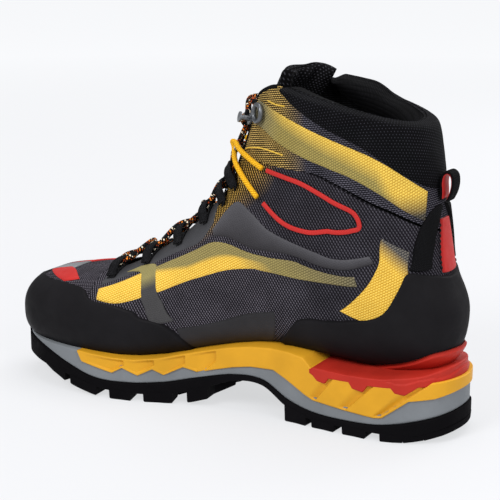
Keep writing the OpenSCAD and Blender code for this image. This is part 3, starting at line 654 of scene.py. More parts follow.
FLECKS = [("#f0e2c8", 0.10, 0.14), ("#e5812a", 0.34, 0.18), ("#b5481c", 0.60, 0.10)]


def make_materials():
    M = {name: woven(name, *row, **options) for name, (*row, options) in CLOTHS.items()}
    M.update({name: fused(name, *row, **options) for name, (*row, options) in FILMS.items()})
    M.update({name: moulded(name, *row) for name, row in MOULDED.items()})
    M["rand_rubber"] = rubber("rand_rubber", "#161517")
    M["tread"] = rubber("tread", "#0b0a0c", 0.75, 0.0001, 0.03)
    M["cord"] = braid("cord", "#f6c42c", "#cf8f14", pitch=0.0013)
    M["lace"] = braid("lace", "#121213", "#050506", FLECKS)
    M["metal"] = metal()
    return M


def metal():
    s = Shade("metal", 0.36, 0.5, metallic=0.75)
    s.colour(s.mix(s.ramp(s.noise(120.0), 0.35, 0.7), srgb("#6f7276"), srgb("#4b4e52")))
    s.rough(s.ramp(s.noise(300.0, detail=4.0), 0.3, 0.7, 0.28, 0.48))
    s.bump(s.noise(900.0), 0.00004)
    return s.mat


# ---------- camera, light and floor ----------
def set_camera():
    azimuth, elevation, distance = math.radians(29), math.radians(13.5), 0.8589
    target = Vector((0.006, 0.0, 0.093))
    level = math.cos(elevation)
    back = Vector((math.sin(azimuth) * level, -math.cos(azimuth) * level, math.sin(elevation)))
    data = bpy.data.cameras.new("camera")
    data.lens = 100.8
    data.clip_end = 50
    cam = bpy.data.objects.new("camera", data)
    cam.location = target + back * distance
    cam.rotation_euler = (-back).to_track_quat("-Z", "Y").to_euler()
    bpy.context.scene.collection.objects.link(cam)
    bpy.context.scene.camera = cam


def area_light(name, at, size, power):
    """Round soft light that points at the middle of the boot."""
    data = bpy.data.lights.new(name, "AREA")
    data.shape, data.size, data.energy = "DISK", size, power
    ob = bpy.data.objects.new(name, data)
    ob.location = at
    ob.rotation_euler = (Vector((0, 0, 0.08)) - Vector(at)).to_track_quat("-Z", "Y").to_euler()
    bpy.context.scene.collection.objects.link(ob)


def set_studio():
    bpy.context.scene.view_settings.view_transform = "Standard"
    world = bpy.data.worlds.new("studio")
    world.use_nodes = True
    world.node_tree.nodes["Background"].inputs[0].default_value = (0.96, 0.975, 1.0, 1)
    world.node_tree.nodes["Background"].inputs[1].default_value = 0.42
    bpy.context.scene.world = world
    area_light("key", (-0.25, -1.1, 1.0), 0.6, 12)
    area_light("side", (1.1, -0.7, 0.8), 0.8, 8)
    area_light("top", (0.1, 0.2, 1.5), 1.2, 13)
    area_light("back", (0.5, 1.2, 0.8), 0.8, 6)
    floor = mesh_object("floor", [(-30, -30, 0), (30, -30, 0), (30, 30, 0), (-30, 30, 0)], [(0, 1, 2, 3)])
    s = Shade("floor_white", 0.95, 0.0)
    s.colour((0.20, 0.20, 0.21, 1))
    s.bsdf.inputs["Emission Color"].default_value = (0.975, 0.985, 1.0, 1)
    far = s.node("VectorMath", operation="LENGTH")
    s.put(far.inputs[0], s.object_space())
    s.put(s.bsdf.inputs["Emission Strength"], s.ramp(far.outputs["Value"], 0.2, 2.2, 0.66, 0.865))
    floor.data.materials.append(s.mat)


# ---------- upper ----------
QUARTER_A = [[4.2, 0.11], [7, 0.12], [9.3, 0.12], [10.6, 0.20], [11.9, 0.31], [13.3, 0.46], [13.68, 0.66],
             [13.75, 0.80]]
QUARTER_B = [[4.2, 0.95], [6.6, 0.95], [8.8, 0.95], [10.2, 0.965], [11.0, 1.0], [12.3, 1.0], [13.75, 1.0]]
CUFF_LOW = [[9.5, 0.125], [10.7, 0.20], [11.95, 0.318], [13.38, 0.468], [13.75, 0.66], [13.80, 0.82],
            [13.78, 1.0]]
CUFF_HIGH = [[14.3, 0.12], [14.9, 0.17], [15.5, 0.24], [15.95, 0.31], [15.75, 0.37], [15.4, 0.43],
             [15.1, 0.60], [14.8, 0.78], [14.6, 1.0]]
BANDS = {  # edges, height, material, slot
    "lower_band": (
        [[4.5, 0.3], [5.5, 0.28], [6.2, 0.295], [7, 0.33], [7.6, 0.35], [8.1, 0.39], [8.7, 0.445],
         [9.3, 0.475], [10.1, 0.495], [10.8, 0.535], [11.3, 0.57]],
        [[4.55, 0.385], [5.1, 0.435], [5.9, 0.445], [6.7, 0.455], [7.4, 0.472], [8.2, 0.49],
         [8.9, 0.502], [9.6, 0.518], [10.2, 0.537], [10.7, 0.558], [11.15, 0.586]],
        0.5, "lower_band", "yellow_film"),
    "upper_band": (
        [[14.2, 0.15], [14.45, 0.24], [14.6, 0.34], [14.72, 0.47], [14.8, 0.6], [14.76, 0.7],
         [14.6, 0.8], [14.45, 0.9]],
        [[12.4, 0.15], [12.95, 0.22], [13.2, 0.32], [13.6, 0.44], [13.95, 0.55], [14, 0.65],
         [13.93, 0.75], [13.88, 0.86]],
        0.5, "upper_band", "yellow_film"),
    "ankle_panel": (
        [[7.7, 0.3], [8.3, 0.27], [9.1, 0.28], [9.6, 0.35], [9.9, 0.41], [10.7, 0.48], [11.6, 0.55],
         [12.15, 0.596]],
        [[7.75, 0.338], [8.2, 0.375], [8.9, 0.44], [9.4, 0.46], [10, 0.477], [10.7, 0.515],
         [11.5, 0.567], [12.05, 0.61]],
        0.7, "grey_film", "grey_film"),
    "rear_stripe": (
        [[13.1, 0.655], [12.5, 0.632], [11.5, 0.605], [10.9, 0.6], [10.3, 0.62]],
        [[13.2, 0.765], [12.6, 0.735], [11.8, 0.71], [11, 0.69], [10.7, 0.685]],
        0.5, "rear_stripe", "yellow_film"),
    "eyestay": (
        [[4.5, 0.12], [5.4, 0.12], [6.3, 0.12], [7.2, 0.12], [8, 0.12]],
        [[4.5, 0.27], [5.4, 0.25], [6.3, 0.27], [7.2, 0.31], [7.75, 0.27]],
        0.6, "pale_film", "pale_film"),
    "skirt": (
        [[6.3, 0.6], [6.8, 0.62], [7.4, 0.63], [8.1, 0.62], [8.7, 0.615]],
        [[6.3, 0.93], [6.9, 0.93], [7.3, 0.93], [7.7, 0.93], [7.85, 0.925]],
        0.5, "skirt", "grey_film"),
}
STRUT = ([[5.05, 0.22], [5.5, 0.27], [5.62, 0.36], [5.66, 0.46], [5.8, 0.55]],
         [[5.45, 0.22], [5.9, 0.27], [6.0, 0.36], [6.05, 0.46], [6.3, 0.56]])
CUFF_FRONT = [[9.6, 0.118], [10.6, 0.118], [11.8, 0.118], [13.0, 0.118], [14.25, 0.12], [14.9, 0.17],
              [15.5, 0.24], [15.9, 0.30]]
WELDS = [[[10.75, 0.15], [11.2, 0.18], [11.9, 0.24], [12.5, 0.30], [12.95, 0.35]],
         [[14.75, 0.25], [14.9, 0.31], [15.1, 0.355]]]


def cloth_panel(name, edge_a, edge_b, side, material, nu, nv, **where):
    t, p = places_between(edge_a, edge_b, nu, nv, side)
    depth = 0.3 * ripple(place(t, p), 22.0, side * 3.0)
    return shell(name, skin(t, p, np.full(t.shape, -2.0)), skin(t, p, depth), material, (t, p), **where)


def binding(name, rows, depth, side, material, thick, slot):
    """Rounded edge tape or weld line along a route on the last."""
    path, _ = route([[t, p, depth] for t, p in rows], side, 220)
    sweep(name, path, disc(thick, 10), [0, 0, 1], material, slot=slot)


def make_upper(M):
    for word, side in SIDES:
        cloth_panel("quarter_cloth_" + word, QUARTER_A, QUARTER_B, side, M["weave"], 150, 110,
                    lining=M["lining_mesh"], slot="upper_weave", replaces=["quarter_" + word])
        cloth_panel("cuff_cloth_" + word, CUFF_LOW, CUFF_HIGH, side, M["cuff_weave"], 130, 60,
                    lining=M["lining_mesh"], slot="cuff_weave", replaces=["cuff_" + word])
        binding("cuff_binding_" + word, CUFF_FRONT, -0.6, side, M["webbing"], 2.6, "webbing")
        for k, rows in enumerate(WELDS):
            binding("cuff_weld_%s_%d" % (word, k), rows, 0.25, side, M["weld"], 0.9, "yellow_film")
    around = np.linspace(-0.95, 0.95, 31)
    toe_film("vamp_cloth", [[4.3, p] for p in around], 0.0, M["toe_weave"], slot="upper_weave",
             replaces=["vamp"])


def make_overlays(M):
    for word, side in SIDES:
        for name, (a, b, height, surface, slot) in BANDS.items():
            film(name + "_skin_" + word, a, b, side, height, M[surface], slot=slot,
                 replaces=[name + "_" + word])
        film("strut_" + word, *STRUT, side, 0.35, M["strut"], base=0.45, nu=60, nv=16, slot="pale_film")


def make_rubber(M):
    half = [[1.7, 0], [1.9, 0.10], [2.7, 0.20], [4.0, 0.28], [4.4, 0.38], [5.0, 0.44], [5.5, 0.50],
            [6.1, 0.57], [6.4, 0.72], [6.4, 0.95]]
    edge = turned(half[:0:-1]) + half
    swell = lambda t, p, far: 0.25 * ripple(place(t, p), 30.0) * ease(far / 8)
    toe_film("rand", edge, 1.9, M["rand_rubber"], lip=1.4, nu=260, nv=90, relief=swell,
             slot="rand_rubber", replaces=["toe_rand"])
    a = [[8.3, 0.80], [9.1, 0.655], [10.2, 0.65], [10.8, 0.66], [11.8, 0.68], [12.6, 0.73], [12.95, 0.86],
         [13.0, 1.0]]
    b = [[8.35, 0.95], [9.1, 0.95], [9.9, 0.955], [10.4, 0.965], [10.7, 0.975], [10.85, 0.985],
         [10.9, 0.99], [10.9, 1.0]]
    film("counter", a + mirrored(a), b + mirrored(b), LATERAL, 1.9, M["rand_rubber"], edge=1.4, nu=260,
         nv=60, relief=swell, slot="rand_rubber", replaces=["heel_counter"])
    a = [[2.0, 0.04], [2.5, 0.05], [3.0, 0.05]]
    film("toe_patch_skin", a, turned(a), MEDIAL, 0.5, M["patch"], base=0.4, nu=30, nv=24,
         slot="pale_film", replaces=["toe_patch"])
    a, b = [[2.0, 0.05], [2.7, 0.15], [3.3, 0.22]], [[2.9, 0.035], [3.25, 0.09], [3.7, 0.19]]
    for word, side in SIDES:
        film("toe_stripe_skin_" + word, a, b, side, 0.6, M["red_tape"], base=0.3, nu=40, nv=16,
             slot="red_tape", replaces=["toe_stripe"])


def make_collar(M):
    low = [[15.55, 0.36], [15.3, 0.40], [15.05, 0.50], [14.95, 0.62], [14.65, 0.78], [14.5, 1.0]]
    high = [[16, 0.33], [16, 0.42], [16, 0.54], [16, 0.66], [16, 0.82], [16, 1.0]]
    t, p = places_between(low + mirrored(low), high + mirrored(high), 200, 44, LATERAL)
    v = np.linspace(0, 1, 45)[None, :]
    t = t + 0.34 * v * ease((0.62 - p) / 0.12) * ease((p - 0.34) / 0.06)
    roll = ease((v - 0.72) / 0.28)
    crown = 0.8 + 2.2 * np.sin(np.pi * np.clip(v, 0, 1)) ** 0.6 - 4.6 * roll ** 2.2
    dent = 0.5 * ripple(place(t, p), 14.0) + 0.25 * ripple(place(t, p), 6.0, 2.0)
    outer = skin(t, p, crown + dent * np.sin(np.pi * v))
    wave = 0.6 * ripple(place(t, p), 11.0, 5.0)
    inner = skin(t, p, -11.5 - 4.5 * np.sin(np.pi * v) + 5.4 * roll ** 2.2 + wave)
    pad = shell("collar_pad", inner, outer, M["knobbly"], (t, p), lining=M["lining_mesh"],
                slot="collar_knit", replaces=["collar"])


def make_tongue(M):
    near = [[9.85, 0.18], [11.5, 0.20], [13.5, 0.22], [15.2, 0.25], [16.9, 0.23]]
    far = [[9.85, -0.18], [11.5, -0.20], [13.5, -0.24], [15.2, -0.31], [16.6, -0.36]]
    t, p = places_between(near, far, 120, 60, MEDIAL)
    v, u = np.linspace(-1, 1, 61)[None, :], np.linspace(0, 1, 121)[:, None]
    t = t + 0.65 * (1 - v ** 2) * ease((u - 0.7) / 0.3)
    full = np.sqrt(np.clip(1 - v ** 6, 0, 1)) * np.sqrt(np.clip(1 - ((u - 0.5) * 2) ** 10, 0, 1))
    top = ease((u - 0.66) / 0.3)
    lobes = 1.6 * np.cos(2.6 * np.pi * (v + 0.15)) - 6.0 * ease((v - 0.35) / 0.65)
    fold = top * lobes + 0.5 * ripple(place(t, p), 10.0)
    thick = (3.4 + 1.2 * top) * full
    pad = shell("tongue_pad", skin(t, p, -12.3 - thick + fold * full),
                skin(t, p, -12.1 + thick + fold * full), M["tongue_mesh"],
                (t, p), body=TONGUE, slot="collar_knit", replaces=["tongue_flap"])
    a = [[4.4, 0.16], [6.5, 0.17], [8.5, 0.18], [9.8, 0.19]]
    film("tongue_base", a, turned(a), MEDIAL, 1.6, M["tongue_mesh"], base=-4.8, sink=2.0, edge=3.0,
         slot="collar_knit", replaces=["tongue_lower"])


# ---------- laces, cords and tapes ----------
EYE_ROWS = [4.7, 5.6, 6.5, 7.4, 8.3, 9.2]
EYE, LACE_D, CORD_D = 0.105, 4.0, 3.2
EYE_DEPTH = 1.2 + LACE_D / 2


def half_lace(side, over):
    """One half of the lace, from the lowest bar up through the rows to its end inside the cuff."""
    rows = [[EYE_ROWS[i], side if i % 2 == 0 else -side] for i in range(1, 6)]
    rows += [[10.15, side], [12.6, -side]]
    out, before = [], EYE_ROWS[0]
    for i, (t, s) in enumerate(rows):
        deep, eye = (3.4, 0.085) if i > 4 else (EYE_DEPTH, EYE)
        out += [[(before + t) / 2, 0, deep + (4.2 if over else 0.2)], [t - 0.12, s * eye, deep],
                [t + 0.12, s * eye, deep]]
        before = t
    out += [[13.15, 0, 7.0 if over else 2.8], [13.5, side * 0.07, 2.4], [13.62, side * 0.112, -0.5],
            [13.62, side * 0.14, -4.2], [13.4, side * 0.17, -5.4], [12.9, side * 0.2, -5.4],
            [12.3, side * 0.21, -5.4]]
    return out


def make_lace(M):
    start = [[EYE_ROWS[0] + 0.12, -EYE, EYE_DEPTH], [EYE_ROWS[0] - 0.12, -EYE, EYE_DEPTH],
             [EYE_ROWS[0] - 0.3, 0, EYE_DEPTH + 1]]
    finish = [[t, -p, d] for t, p, d in start[1::-1]]
    places = np.array(half_lace(LATERAL, True)[::-1] + start + finish + half_lace(MEDIAL, False), float)
    points = skin(places[:, 0], places[:, 1], places[:, 2])
    path = resample(points, 620)
    flat = disc(LACE_D, 14) * [1.0, 0.94]
    sweep("lace_braid", path, flat, [0, 0, 1], M["lace"], slot="lace_braid", replaces=["lace"])


def make_loops(M):
    low, top = 0.9, EYE_DEPTH + LACE_D / 2 + 0.3
    for word, side in SIDES:
        for k, t in enumerate(EYE_ROWS):
            rows = [[t, 0.225, low + 0.9], [t, 0.20, top - 2.6], [t, 0.16, top - 0.3],
                    [t, 0.095, top + 0.1], [t, 0.068, top - 1.6], [t, 0.065, EYE_DEPTH],
                    [t, 0.075, low + 0.4], [t, 0.11, low], [t, 0.16, low], [t, 0.235, low]]
            q = resample(rows, 60)
            path = skin(q[:, 0], side * q[:, 1], q[:, 2])
            along = place(t + 0.1, side * 0.15) - place(t - 0.1, side * 0.15)
            band = np.array([[-0.35, -3.4], [0.35, -3.4], [0.42, -3.0], [0.35, 0], [0.42, 3.0],
                             [0.35, 3.4], [-0.35, 3.4]])
            sweep("lace_loop_%s_%d" % (word, k), path, band, along / np.linalg.norm(along),
                  M["loop_webbing"], slot="webbing", replaces=["lace_loops_" + word])


def make_cords(M):
    for word, side in SIDES:
        rows = [[11.4, 0.285, 1.4 + CORD_D / 2], [11.0, 0.22, 3], [10.5, 0.14, 3.4], [10.28, 0.075, 5.4],
                [10.1, 0.05, 8], [9.95, 0.075, 5.4], [9.8, 0.14, 3.4], [10.0, 0.22, 3],
                [10.3, 0.325, 1.6 + CORD_D / 2]]
        path, _ = route(rows, side, 200)
        sweep("ankle_cord_braid_" + word, path, disc(CORD_D, 14), [0, 0, 1], M["cord"],
              slot="yellow_cord", replaces=["ankle_cord_" + word])
        rows = [[11.45, 0.295, 0.6], [12.0, 0.36, 0.5], [12.6, 0.43, 0.5], [13.0, 0.51, 0.5],
                [13.2, 0.57, 0.5], [12.95, 0.585, 0.5], [12.5, 0.55, 0.5], [11.8, 0.50, 0.5],
                [11.1, 0.455, 0.5], [10.6, 0.41, 1.0], [10.35, 0.345, 1.1]]
        path, ups = route(rows, side, 180)
        sweep("cord_tape_strip_" + word, path, strap(2.7, 1.0, 0.3), ups[0], M["red_tape"], ups=ups,
              slot="red_tape", replaces=["cord_tape_" + word])


def stitches(name, rows, side, material, gap, length, thick):
    """A row of stitches along a route on the last, as short rounded threads in one piece."""
    path, ups = route(rows, side, 400)
    run = run_length(path)
    verts, faces = [], []
    ring = np.linspace(0, 2 * np.pi, 6, endpoint=False)
    for s in np.arange(gap / 2, run[-1] - length, gap):
        at = s + length * np.array([0, 0.18, 0.5, 0.82, 1])
        mid = np.stack([np.interp(at, run, path[:, k]) for k in range(3)], 1)
        up = np.array([np.interp(s, run, ups[:, k]) for k in range(3)])
        tan = mid[-1] - mid[0]
        tan /= np.linalg.norm(tan)
        side_dir = np.cross(tan, up)
        faces += ring_faces(5, 6, len(verts))
        for k, (r, lift) in enumerate(((0.25, -0.2), (0.9, 0.1), (1.0, 0.2), (0.9, 0.1), (0.25, -0.2))):
            for a in ring:
                verts.append(mid[k] + up * lift + thick * r * (np.cos(a) * side_dir + 0.8 * np.sin(a) * up))
    new_object(name, verts, faces, material, slot="webbing")


def make_heel_parts(M):
    a = [[12.72, 0.74], [13.0, 0.765], [13.4, 0.79], [13.75, 0.83], [14.03, 0.885], [14.18, 0.94]]
    b = [[13.08, 0.86], [13.3, 0.87], [13.5, 0.89], [13.75, 0.915], [13.98, 0.95], [14.2, 0.985]]
    edge = a
    for word, side in SIDES:
        film("heel_strap_band_" + word, a, b, side, 1.9, M["webbing"], base=0.3, edge=0.8, nu=80, nv=30,
             slot="webbing", replaces=["heel_strap"])
    a = [[13.06, 0.93], [13.5, 0.94], [13.95, 0.965]]
    film("spine_strip_tape", a, behind(a), LATERAL, 1.0, M["red_tape"], base=0.3, edge=0.5, nu=40, nv=24,
         slot="red_tape", replaces=["spine_strip"])
    for word, side in SIDES:
        rows = [[t, p - 0.012, 1.1] for t, p in a]
        stitches("spine_stitches_" + word, rows, side, M["thread_black"], 3.0, 2.2, 0.5)
        stitches("strap_stitches_" + word, [[t, p + 0.012, 1.7] for t, p in edge], side, M["thread_grey"],
                 3.2, 2.1, 0.4)


def loop_path(inset):
    base = skin(14.24, 1.0, 0.0)
    q = np.array([[1.8, 1.6], [2.0, 6], [1.5, 11.5], [2.6, 15.6], [5.5, 17], [8.2, 15.2], [8.8, 10.8],
                  [7.6, 6], [5.0, 1.6]])
    c = np.array([5.2, 9.3])
    d = (q - c) * [1 - inset / 5, 1 - inset / 9] + c
    d[:, 0] = 1.8 + (d[:, 0] - 1.8) * 0.8
    return resample(np.stack([base[0] + d[:, 0], np.full(len(d), base[1]), base[2] + d[:, 1]], 1), 90)


def make_pull_loop(M):
    sweep("pull_loop_band", loop_path(0.0), strap(11, 1.3, 0.4), [-1, 0, 0], M["webbing"], body=LOOP,
          slot="webbing", replaces=["pull_loop"])
    sweep("pull_loop_inside", loop_path(0.8), strap(9.8, 0.5, 0.2), [-1, 0, 0], M["red_tape"], body=LOOP,
          slot="red_tape", replaces=["pull_loop_lining"])


# ---------- sole ----------
OUTLINE = np.concatenate([SOLE[:, [0, 1]], SOLE[-2:0:-1, [0, 2]]])
FRAME_EDGE = np.array([(-90, 27.6), (-87, 21.6), (-65, 17.0), (-58, 21.0), (-48, 16.8), (-39, 21.5),
                       (-32, 18.2), (-20, 24.2), (-11, 21.8), (1, 24.9), (12, 27.6), (24, 29.7),
                       (40, 30.3), (48, 26.5), (56, 22.3), (62, 19.2), (68, 16.9), (89, 14.9),
                       (108, 13.6), (113, 14.2), (128, 25.3), (141, 26.6), (154, 30.5)])
FEATHER = np.array([(-124, 29.4), (-91, 28.6), (-65, 27.1), (-50, 27.1), (-35, 29.0), (-8, 35.7),
                    (8, 39.6), (23, 42.4), (37, 43.7), (50, 43.4), (61, 42.0), (66, 37.0), (70, 35.0),
                    (112, 35.0), (154, 37.0)])
RED_LOW = np.array([(66, 33.5), (68, 32.4), (71, 29.4), (76, 28.7), (78.5, 32.3), (92, 32.6),
                    (94.5, 29.0), (101, 28.1), (104, 32.4), (118, 32.7), (120.5, 29.6), (126, 29.0),
                    (133, 33.9), (141, 33.4), (143, 30.2), (148, 30.2), (151, 35.0), (154, 37.0)])
RED_HIGH = np.array([(66, 36.2), (68, 37.4), (90, 36.8), (112, 37.6), (122, 38.6), (135, 40.2),
                     (147, 43.0), (154, 45.0)])
FACETS = [(-87, -57, -65, 22.3), (-57, -38, -48, 23.8), (-38, -19, -32, 25.9), (-19, 1, -11, 30.0)]
CHANNELS = [((65, 19.5, 0.66), (70, 17.6, 0.77)), ((83.5, 15.8, 0.78), (89.5, 14.8, 1.02)),
            ((107, 14.8, 0.95), (112, 15.2, 1.32))]


def level(rows, x):
    return np.interp(x, rows[:, 0], rows[:, 1])


def edge_height(rows):
    return lambda x, st, side: level(rows, x)


def whole_length(n):
    """Stations from the toe to the heel, closer together at both ends."""
    return TAIL * 0.5 * (1 - np.cos(np.linspace(0, np.pi, n)))


def sole_curve(s):
    """Points and outward directions of the sole's outline, medial then lateral, at stations s."""
    closed = s[0] <= 0
    u = np.concatenate([s, 2 * TAIL - (s[-2:0:-1] if closed else s[-2::-1])])
    pts = smooth(OUTLINE, u, closed=True)
    pts[:, 0] -= 0.055 * np.maximum(pts[:, 0] - 108, 0)
    pts = pts * [KX, KY]
    ahead, astern = (smooth(OUTLINE, u + step, closed=True) * [KX, KY] for step in (0.02, -0.02))
    near = ahead - astern
    out = np.stack([near[:, 1], -near[:, 0]], 1)
    out /= np.linalg.norm(out, axis=1, keepdims=True)
    if (out * pts).sum() < 0:
        out = -out
    return pts, out, np.where(u > TAIL, 2 * TAIL - u, u), np.where(u > TAIL, LATERAL, MEDIAL)


def sole_layer(name, low, high, push, material, start=0.0, n=520, rows=14, **where):
    """Solid layer of the sole from station start to the heel. low and high give heights, and push
    the outward shift, as functions of x, station and side, push also of the share of the height
    and of the height itself."""
    if start <= 0:
        s = whole_length(n)
    else:
        s = start + (TAIL - start) * np.sin(np.linspace(0, np.pi / 2, n))
    pts, out, st, side = sole_curve(s)
    x = pts[:, 0] / KX
    z0, z1 = low(x, st, side), high(x, st, side)
    h = np.linspace(0, 1, rows + 1)
    z = z0[:, None] + (z1 - z0)[:, None] * h
    r = push(x[:, None], st[:, None], side[:, None], h[None, :], z)
    wall = np.dstack([pts[:, None, 0] + out[:, None, 0] * r, pts[:, None, 1] + out[:, None, 1] * r, z])
    k, m = wall.shape[:2]
    faces = [(i * m + j, (i + 1) % k * m + j, (i + 1) % k * m + j + 1,
              i * m + j + 1) for i in range(k) for j in range(m - 1)]
    closed = start <= 0
    for j, flip in ((0, True), (m - 1, False)):
        for i in range(n - 1):
            other = (lambda q: (k - q) % k) if closed else (lambda q: k - 1 - q)
            quad = list(dict.fromkeys([i * m + j, (i + 1) * m + j, other(i + 1) * m + j, other(i) * m + j]))
            faces.append(tuple(quad[::-1] if flip else quad))
    ob = new_object(name, wall.reshape(-1, 3), faces, material, **where)
    set_uv(ob, "cloth", np.stack([np.repeat(run_length(pts), m), z.ravel()], 1) * 0.001)


def rounding(h, size, share):
    """Inward shift that rounds the lower and the upper edge of a wall."""
    e = np.clip(np.minimum(h, 1 - h) / share, 0, 1)
    return -size * (1 - np.sqrt(np.clip(1 - (1 - e) ** 2, 0, 1)))


def frame_relief(x, z):
    """Facets along the ball and slanting channels under the heel."""
    cut = np.zeros(np.broadcast(x, z).shape)
    floor, top = level(FRAME_EDGE, x), level(FEATHER, x)
    for x0, x1, tip, z1 in FACETS:
        lip = np.where(x > tip, 18.4 + (z1 - 18.4) * np.clip((x - tip) / (x1 - tip), 0, 1), floor + 1.2)
        inside = (x >= x0) & (x <= x1)
        ramp = ease((x - x0) / (x1 - x0)) * ease((z - lip) / 0.9) * ease((top - 0.6 - z) / 2.0)
        cut = np.where(inside, -1.7 * ramp, cut)
    for (xa, za, sa), (xb, zb, sb) in CHANNELS:
        left, right = xa + (z - za) * sa, xb + (z - zb) * sb
        f = (x - left) / np.maximum(right - left, 0.5)
        inside = (f > 0) & (f < 1) & (z > floor + 0.9)
        cut = np.where(inside, -2.0 * ease(f / 0.8) * ease((z - floor - 0.9) / 0.8), cut)
    return cut


def heel_ledge(x, st, side, h, z):
    """Rounded band whose upper part steps in at the back."""
    back = 2.2 * ease((x - 128) / 20)
    step = 0.9 * ease((h - 0.62) / 0.05) * ease((x - 112) / 10)
    return rounding(h, 0.7, 0.12) + 0.1 - back - step


def make_midsole(M):
    foam_top = lambda x, st, side: np.where(x < -89.5, level(FEATHER, x) - 0.2, level(FRAME_EDGE, x) + 2.0)
    carved = lambda x, st, side, h, z: rounding(h, 0.8, 0.07) - 0.1 + frame_relief(x, z)
    sole_layer("foam_wedge", column(4), foam_top, lambda x, st, side, h, z: rounding(h, 0.5, 0.08) - 1.3,
               M["foam"], slot="grey_foam", replaces=["midsole"])
    begin = float(np.interp(-90, SOLE[:, 0], np.arange(TAIL + 1)))
    sole_layer("frame_wall", edge_height(FRAME_EDGE), edge_height(FEATHER), carved, M["frame"],
               start=begin, n=760, rows=40, slot="yellow_frame", replaces=["midsole_frame"])
    begin = float(np.interp(66, SOLE[:, 0], np.arange(TAIL + 1)))
    sole_layer("heel_band", edge_height(RED_LOW), edge_height(RED_HIGH), heel_ledge, M["insert"],
               start=begin, n=420, rows=22, slot="red_insert", replaces=["heel_insert"])
    a = [[9.5, 0.925], [10.1, 0.88], [10.7, 0.85], [11.1, 0.86], [11.35, 0.93], [11.4, 1.0]]
    b = [[9.5, 0.95], [9.95, 0.955], [10.3, 0.96], [10.6, 0.97], [10.72, 0.985], [10.75, 1.0]]
    film("heel_cup", a + mirrored(a), b + mirrored(b), LATERAL, 1.6, M["insert"], base=2.6, edge=1.2,
         sink=2.0, nu=150, nv=30, slot="red_insert")


def column(c):
    return lambda x, st, side: smooth(SOLE, st)[:, c]


def ground(x):
    """Height of the lowest part of the tread, which rises at the toe, the arch and the heel."""
    heel = 0.0046 * np.maximum(x - 116, 0) ** 2
    arch = np.where((x > -35) & (x < 30), 0.0055 * (x + 35) ** 2, heel)
    return np.where(x < -62, 0.0041 * (-62 - x) ** 2, arch)


def lug(verts, faces, plan):
    """Adds one tread block with a rounded foot, standing on the ground line, from its plan."""
    plan = np.asarray(plan, float)
    c = plan.mean(0)
    under = np.interp(plan[:, 0], SOLE[:, 0], SOLE[:, 3]) + 1.2
    span = np.linalg.norm(plan - c, axis=1, keepdims=True)
    foot = ground(plan[:, 0])
    faces.extend(ring_faces(4, len(plan), len(verts)))
    for inset, z in ((1.1, foot), (0.35, foot + 0.35), (0.0, foot + 1.1),
                     (-0.3, np.maximum(under, foot + 1.4))):
        ring = c + (plan - c) * (1 - inset / span)
        verts.extend(np.column_stack([ring[:, 0] * KX, ring[:, 1] * KY, z]))


def block(x0, length, y0, y1, slant, corner=2.0):
    """Plan of a block with cut corners, its ends slanting."""
    x1, m = x0 + length, (y0 + y1) / 2
    plan = [(x0 + corner, y0), (x1 - corner, y0), (x1, y0 + corner), (x1, y1 - corner),
            (x1 - corner, y1), (x0 + corner, y1), (x0, y1 - corner), (x0, y0 + corner)]
    return [(x + slant * (y - m), y) for x, y in plan]


def strip(line, count, width):
    """Plan of the tread along part of the outline: count points of its rim and as many further in."""
    pts, out = (rows[np.linspace(0, len(rows) - 1, count).astype(int)] for rows in line)
    return pts - out * 0.3, pts - out * width


def make_tread(M):
    sole_layer("tread_plate", column(3), column(4), lambda x, st, side, h, z: rounding(h, 0.8, 0.1) - 0.2,
               M["tread"], slot="tread_rubber", replaces=["outsole"])
    verts, faces = [], []
    pts, out, _, side = sole_curve(whole_length(900))
    pts, x = pts / [KX, KY], pts[:, 0] / KX
    for x0, x1 in ((-97, -76), (-67, -52), (-45, -26), (-18, -4), (48, 63.5), (67, 82.5), (88, 103.5)):
        for s in (MEDIAL, LATERAL):
            pick = np.where((side == s) & (x > x0) & (x < x1))[0]
            rim, deep = strip((pts[pick], out[pick]), 9, 13)
            lug(verts, faces, np.concatenate([rim, deep[::-1]]))
    toe = np.concatenate([np.where((x < -101) & (side == s))[0] for s in (LATERAL, MEDIAL)])
    for pick, width, step in ((np.where(x > 112)[0], 14, 2), (toe, 13, 3)):
        rim, deep = strip((pts[pick], out[pick]), 31, width)
        for i in range(0, 30, step):
            lug(verts, faces, np.concatenate([rim[i:i + step + 1], deep[i:i + step + 1][::-1]]))
    ball = ((-112, -89, -65, -41, -17), ((-26, -5, 0.45), (1, 22, -0.45)))
    heel = ((55, 77, 97), ((-17, -1, -0.35), (5, 21, 0.35)))
    for starts, rows in (ball, heel):
        for x0 in starts:
            for y0, y1, slant in rows:
                lug(verts, faces, block(x0, 13, y0, y1, slant))
    new_object("tread_lugs", verts, faces, M["tread"], smooth_faces=False, slot="tread_rubber",
               replaces=["outsole"])


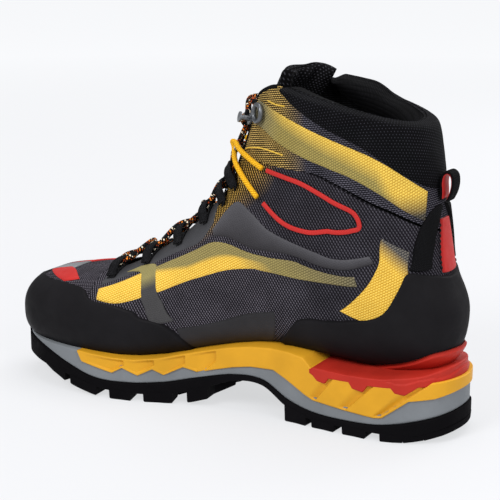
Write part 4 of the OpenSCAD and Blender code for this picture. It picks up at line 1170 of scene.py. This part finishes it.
# ---------- inside ----------
def inner_layer(name, a, b, side, deep, thick, material, puff=0.6, **where):
    """Lining or footbed: the face towards the foot is soft and rounds off at its border."""
    t, p = places_between(a, b, 90, 40, side)
    far = edge_distance(place(t, p))
    rise = rounded(far, 2.5)
    inner = skin(t, p, -deep - thick * rise - puff * ripple(place(t, p), 9.0) * rise)
    return shell(name, inner, skin(t, p, np.full(t.shape, -deep)), material, (t, p), **where)


def make_inside(M):
    a = [[9.6, 0.36], [12.6, 0.42], [13.6, 0.55], [14.0, 0.75], [14.0, 1.0]]
    b = [[9.4, 0.66], [10.5, 0.655], [11.8, 0.68], [12.7, 0.78], [12.9, 1.0]]
    inner_layer("ankle_padding", a + mirrored(a), b + mirrored(b), LATERAL, 2.6, 4.1, M["lining_mesh"],
                slot="lining_knit", replaces=["ankle_lining"])
    a = [[1.1, 0.76], [3, 0.77], [5.5, 0.78], [8, 0.77], [10, 0.84], [10.9, 0.88]]
    inner_layer("footbed_cloth", a, behind(a), LATERAL, 5.0, 3.8, M["lining_mesh"], 0.2,
                slot="footbed_foam", replaces=["footbed"])
    for word, side in SIDES:
        inner_layer("foot_lining_cloth_" + word, [[3.4, 0.10], [5.4, 0.19], [7.2, 0.21], [9, 0.30]],
                    [[3.4, 0.74], [5.4, 0.75], [7.2, 0.74], [9, 0.67]], side, 4.4, 0.8, M["lining_mesh"],
                    0.1, slot="lining_knit", replaces=["foot_lining"])
    for node, surface in (("shank", "nylon"), ("lasting_board", "board"), ("toe_puff", "stiffener"),
                          ("heel_stiffener", "stiffener"), ("eyelet_rings", "metal"),
                          ("lace_hooks", "metal"), ("aglets", "nylon")):
        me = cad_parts[node].data
        me.materials.clear()
        me.materials.append(M[surface])


def main():
    set_camera()
    set_studio()
    M = make_materials()
    make_upper(M)
    make_overlays(M)
    make_rubber(M)
    make_collar(M)
    make_tongue(M)
    make_lace(M)
    make_loops(M)
    make_cords(M)
    make_heel_parts(M)
    make_pull_loop(M)
    make_midsole(M)
    make_tread(M)
    make_inside(M)


main()
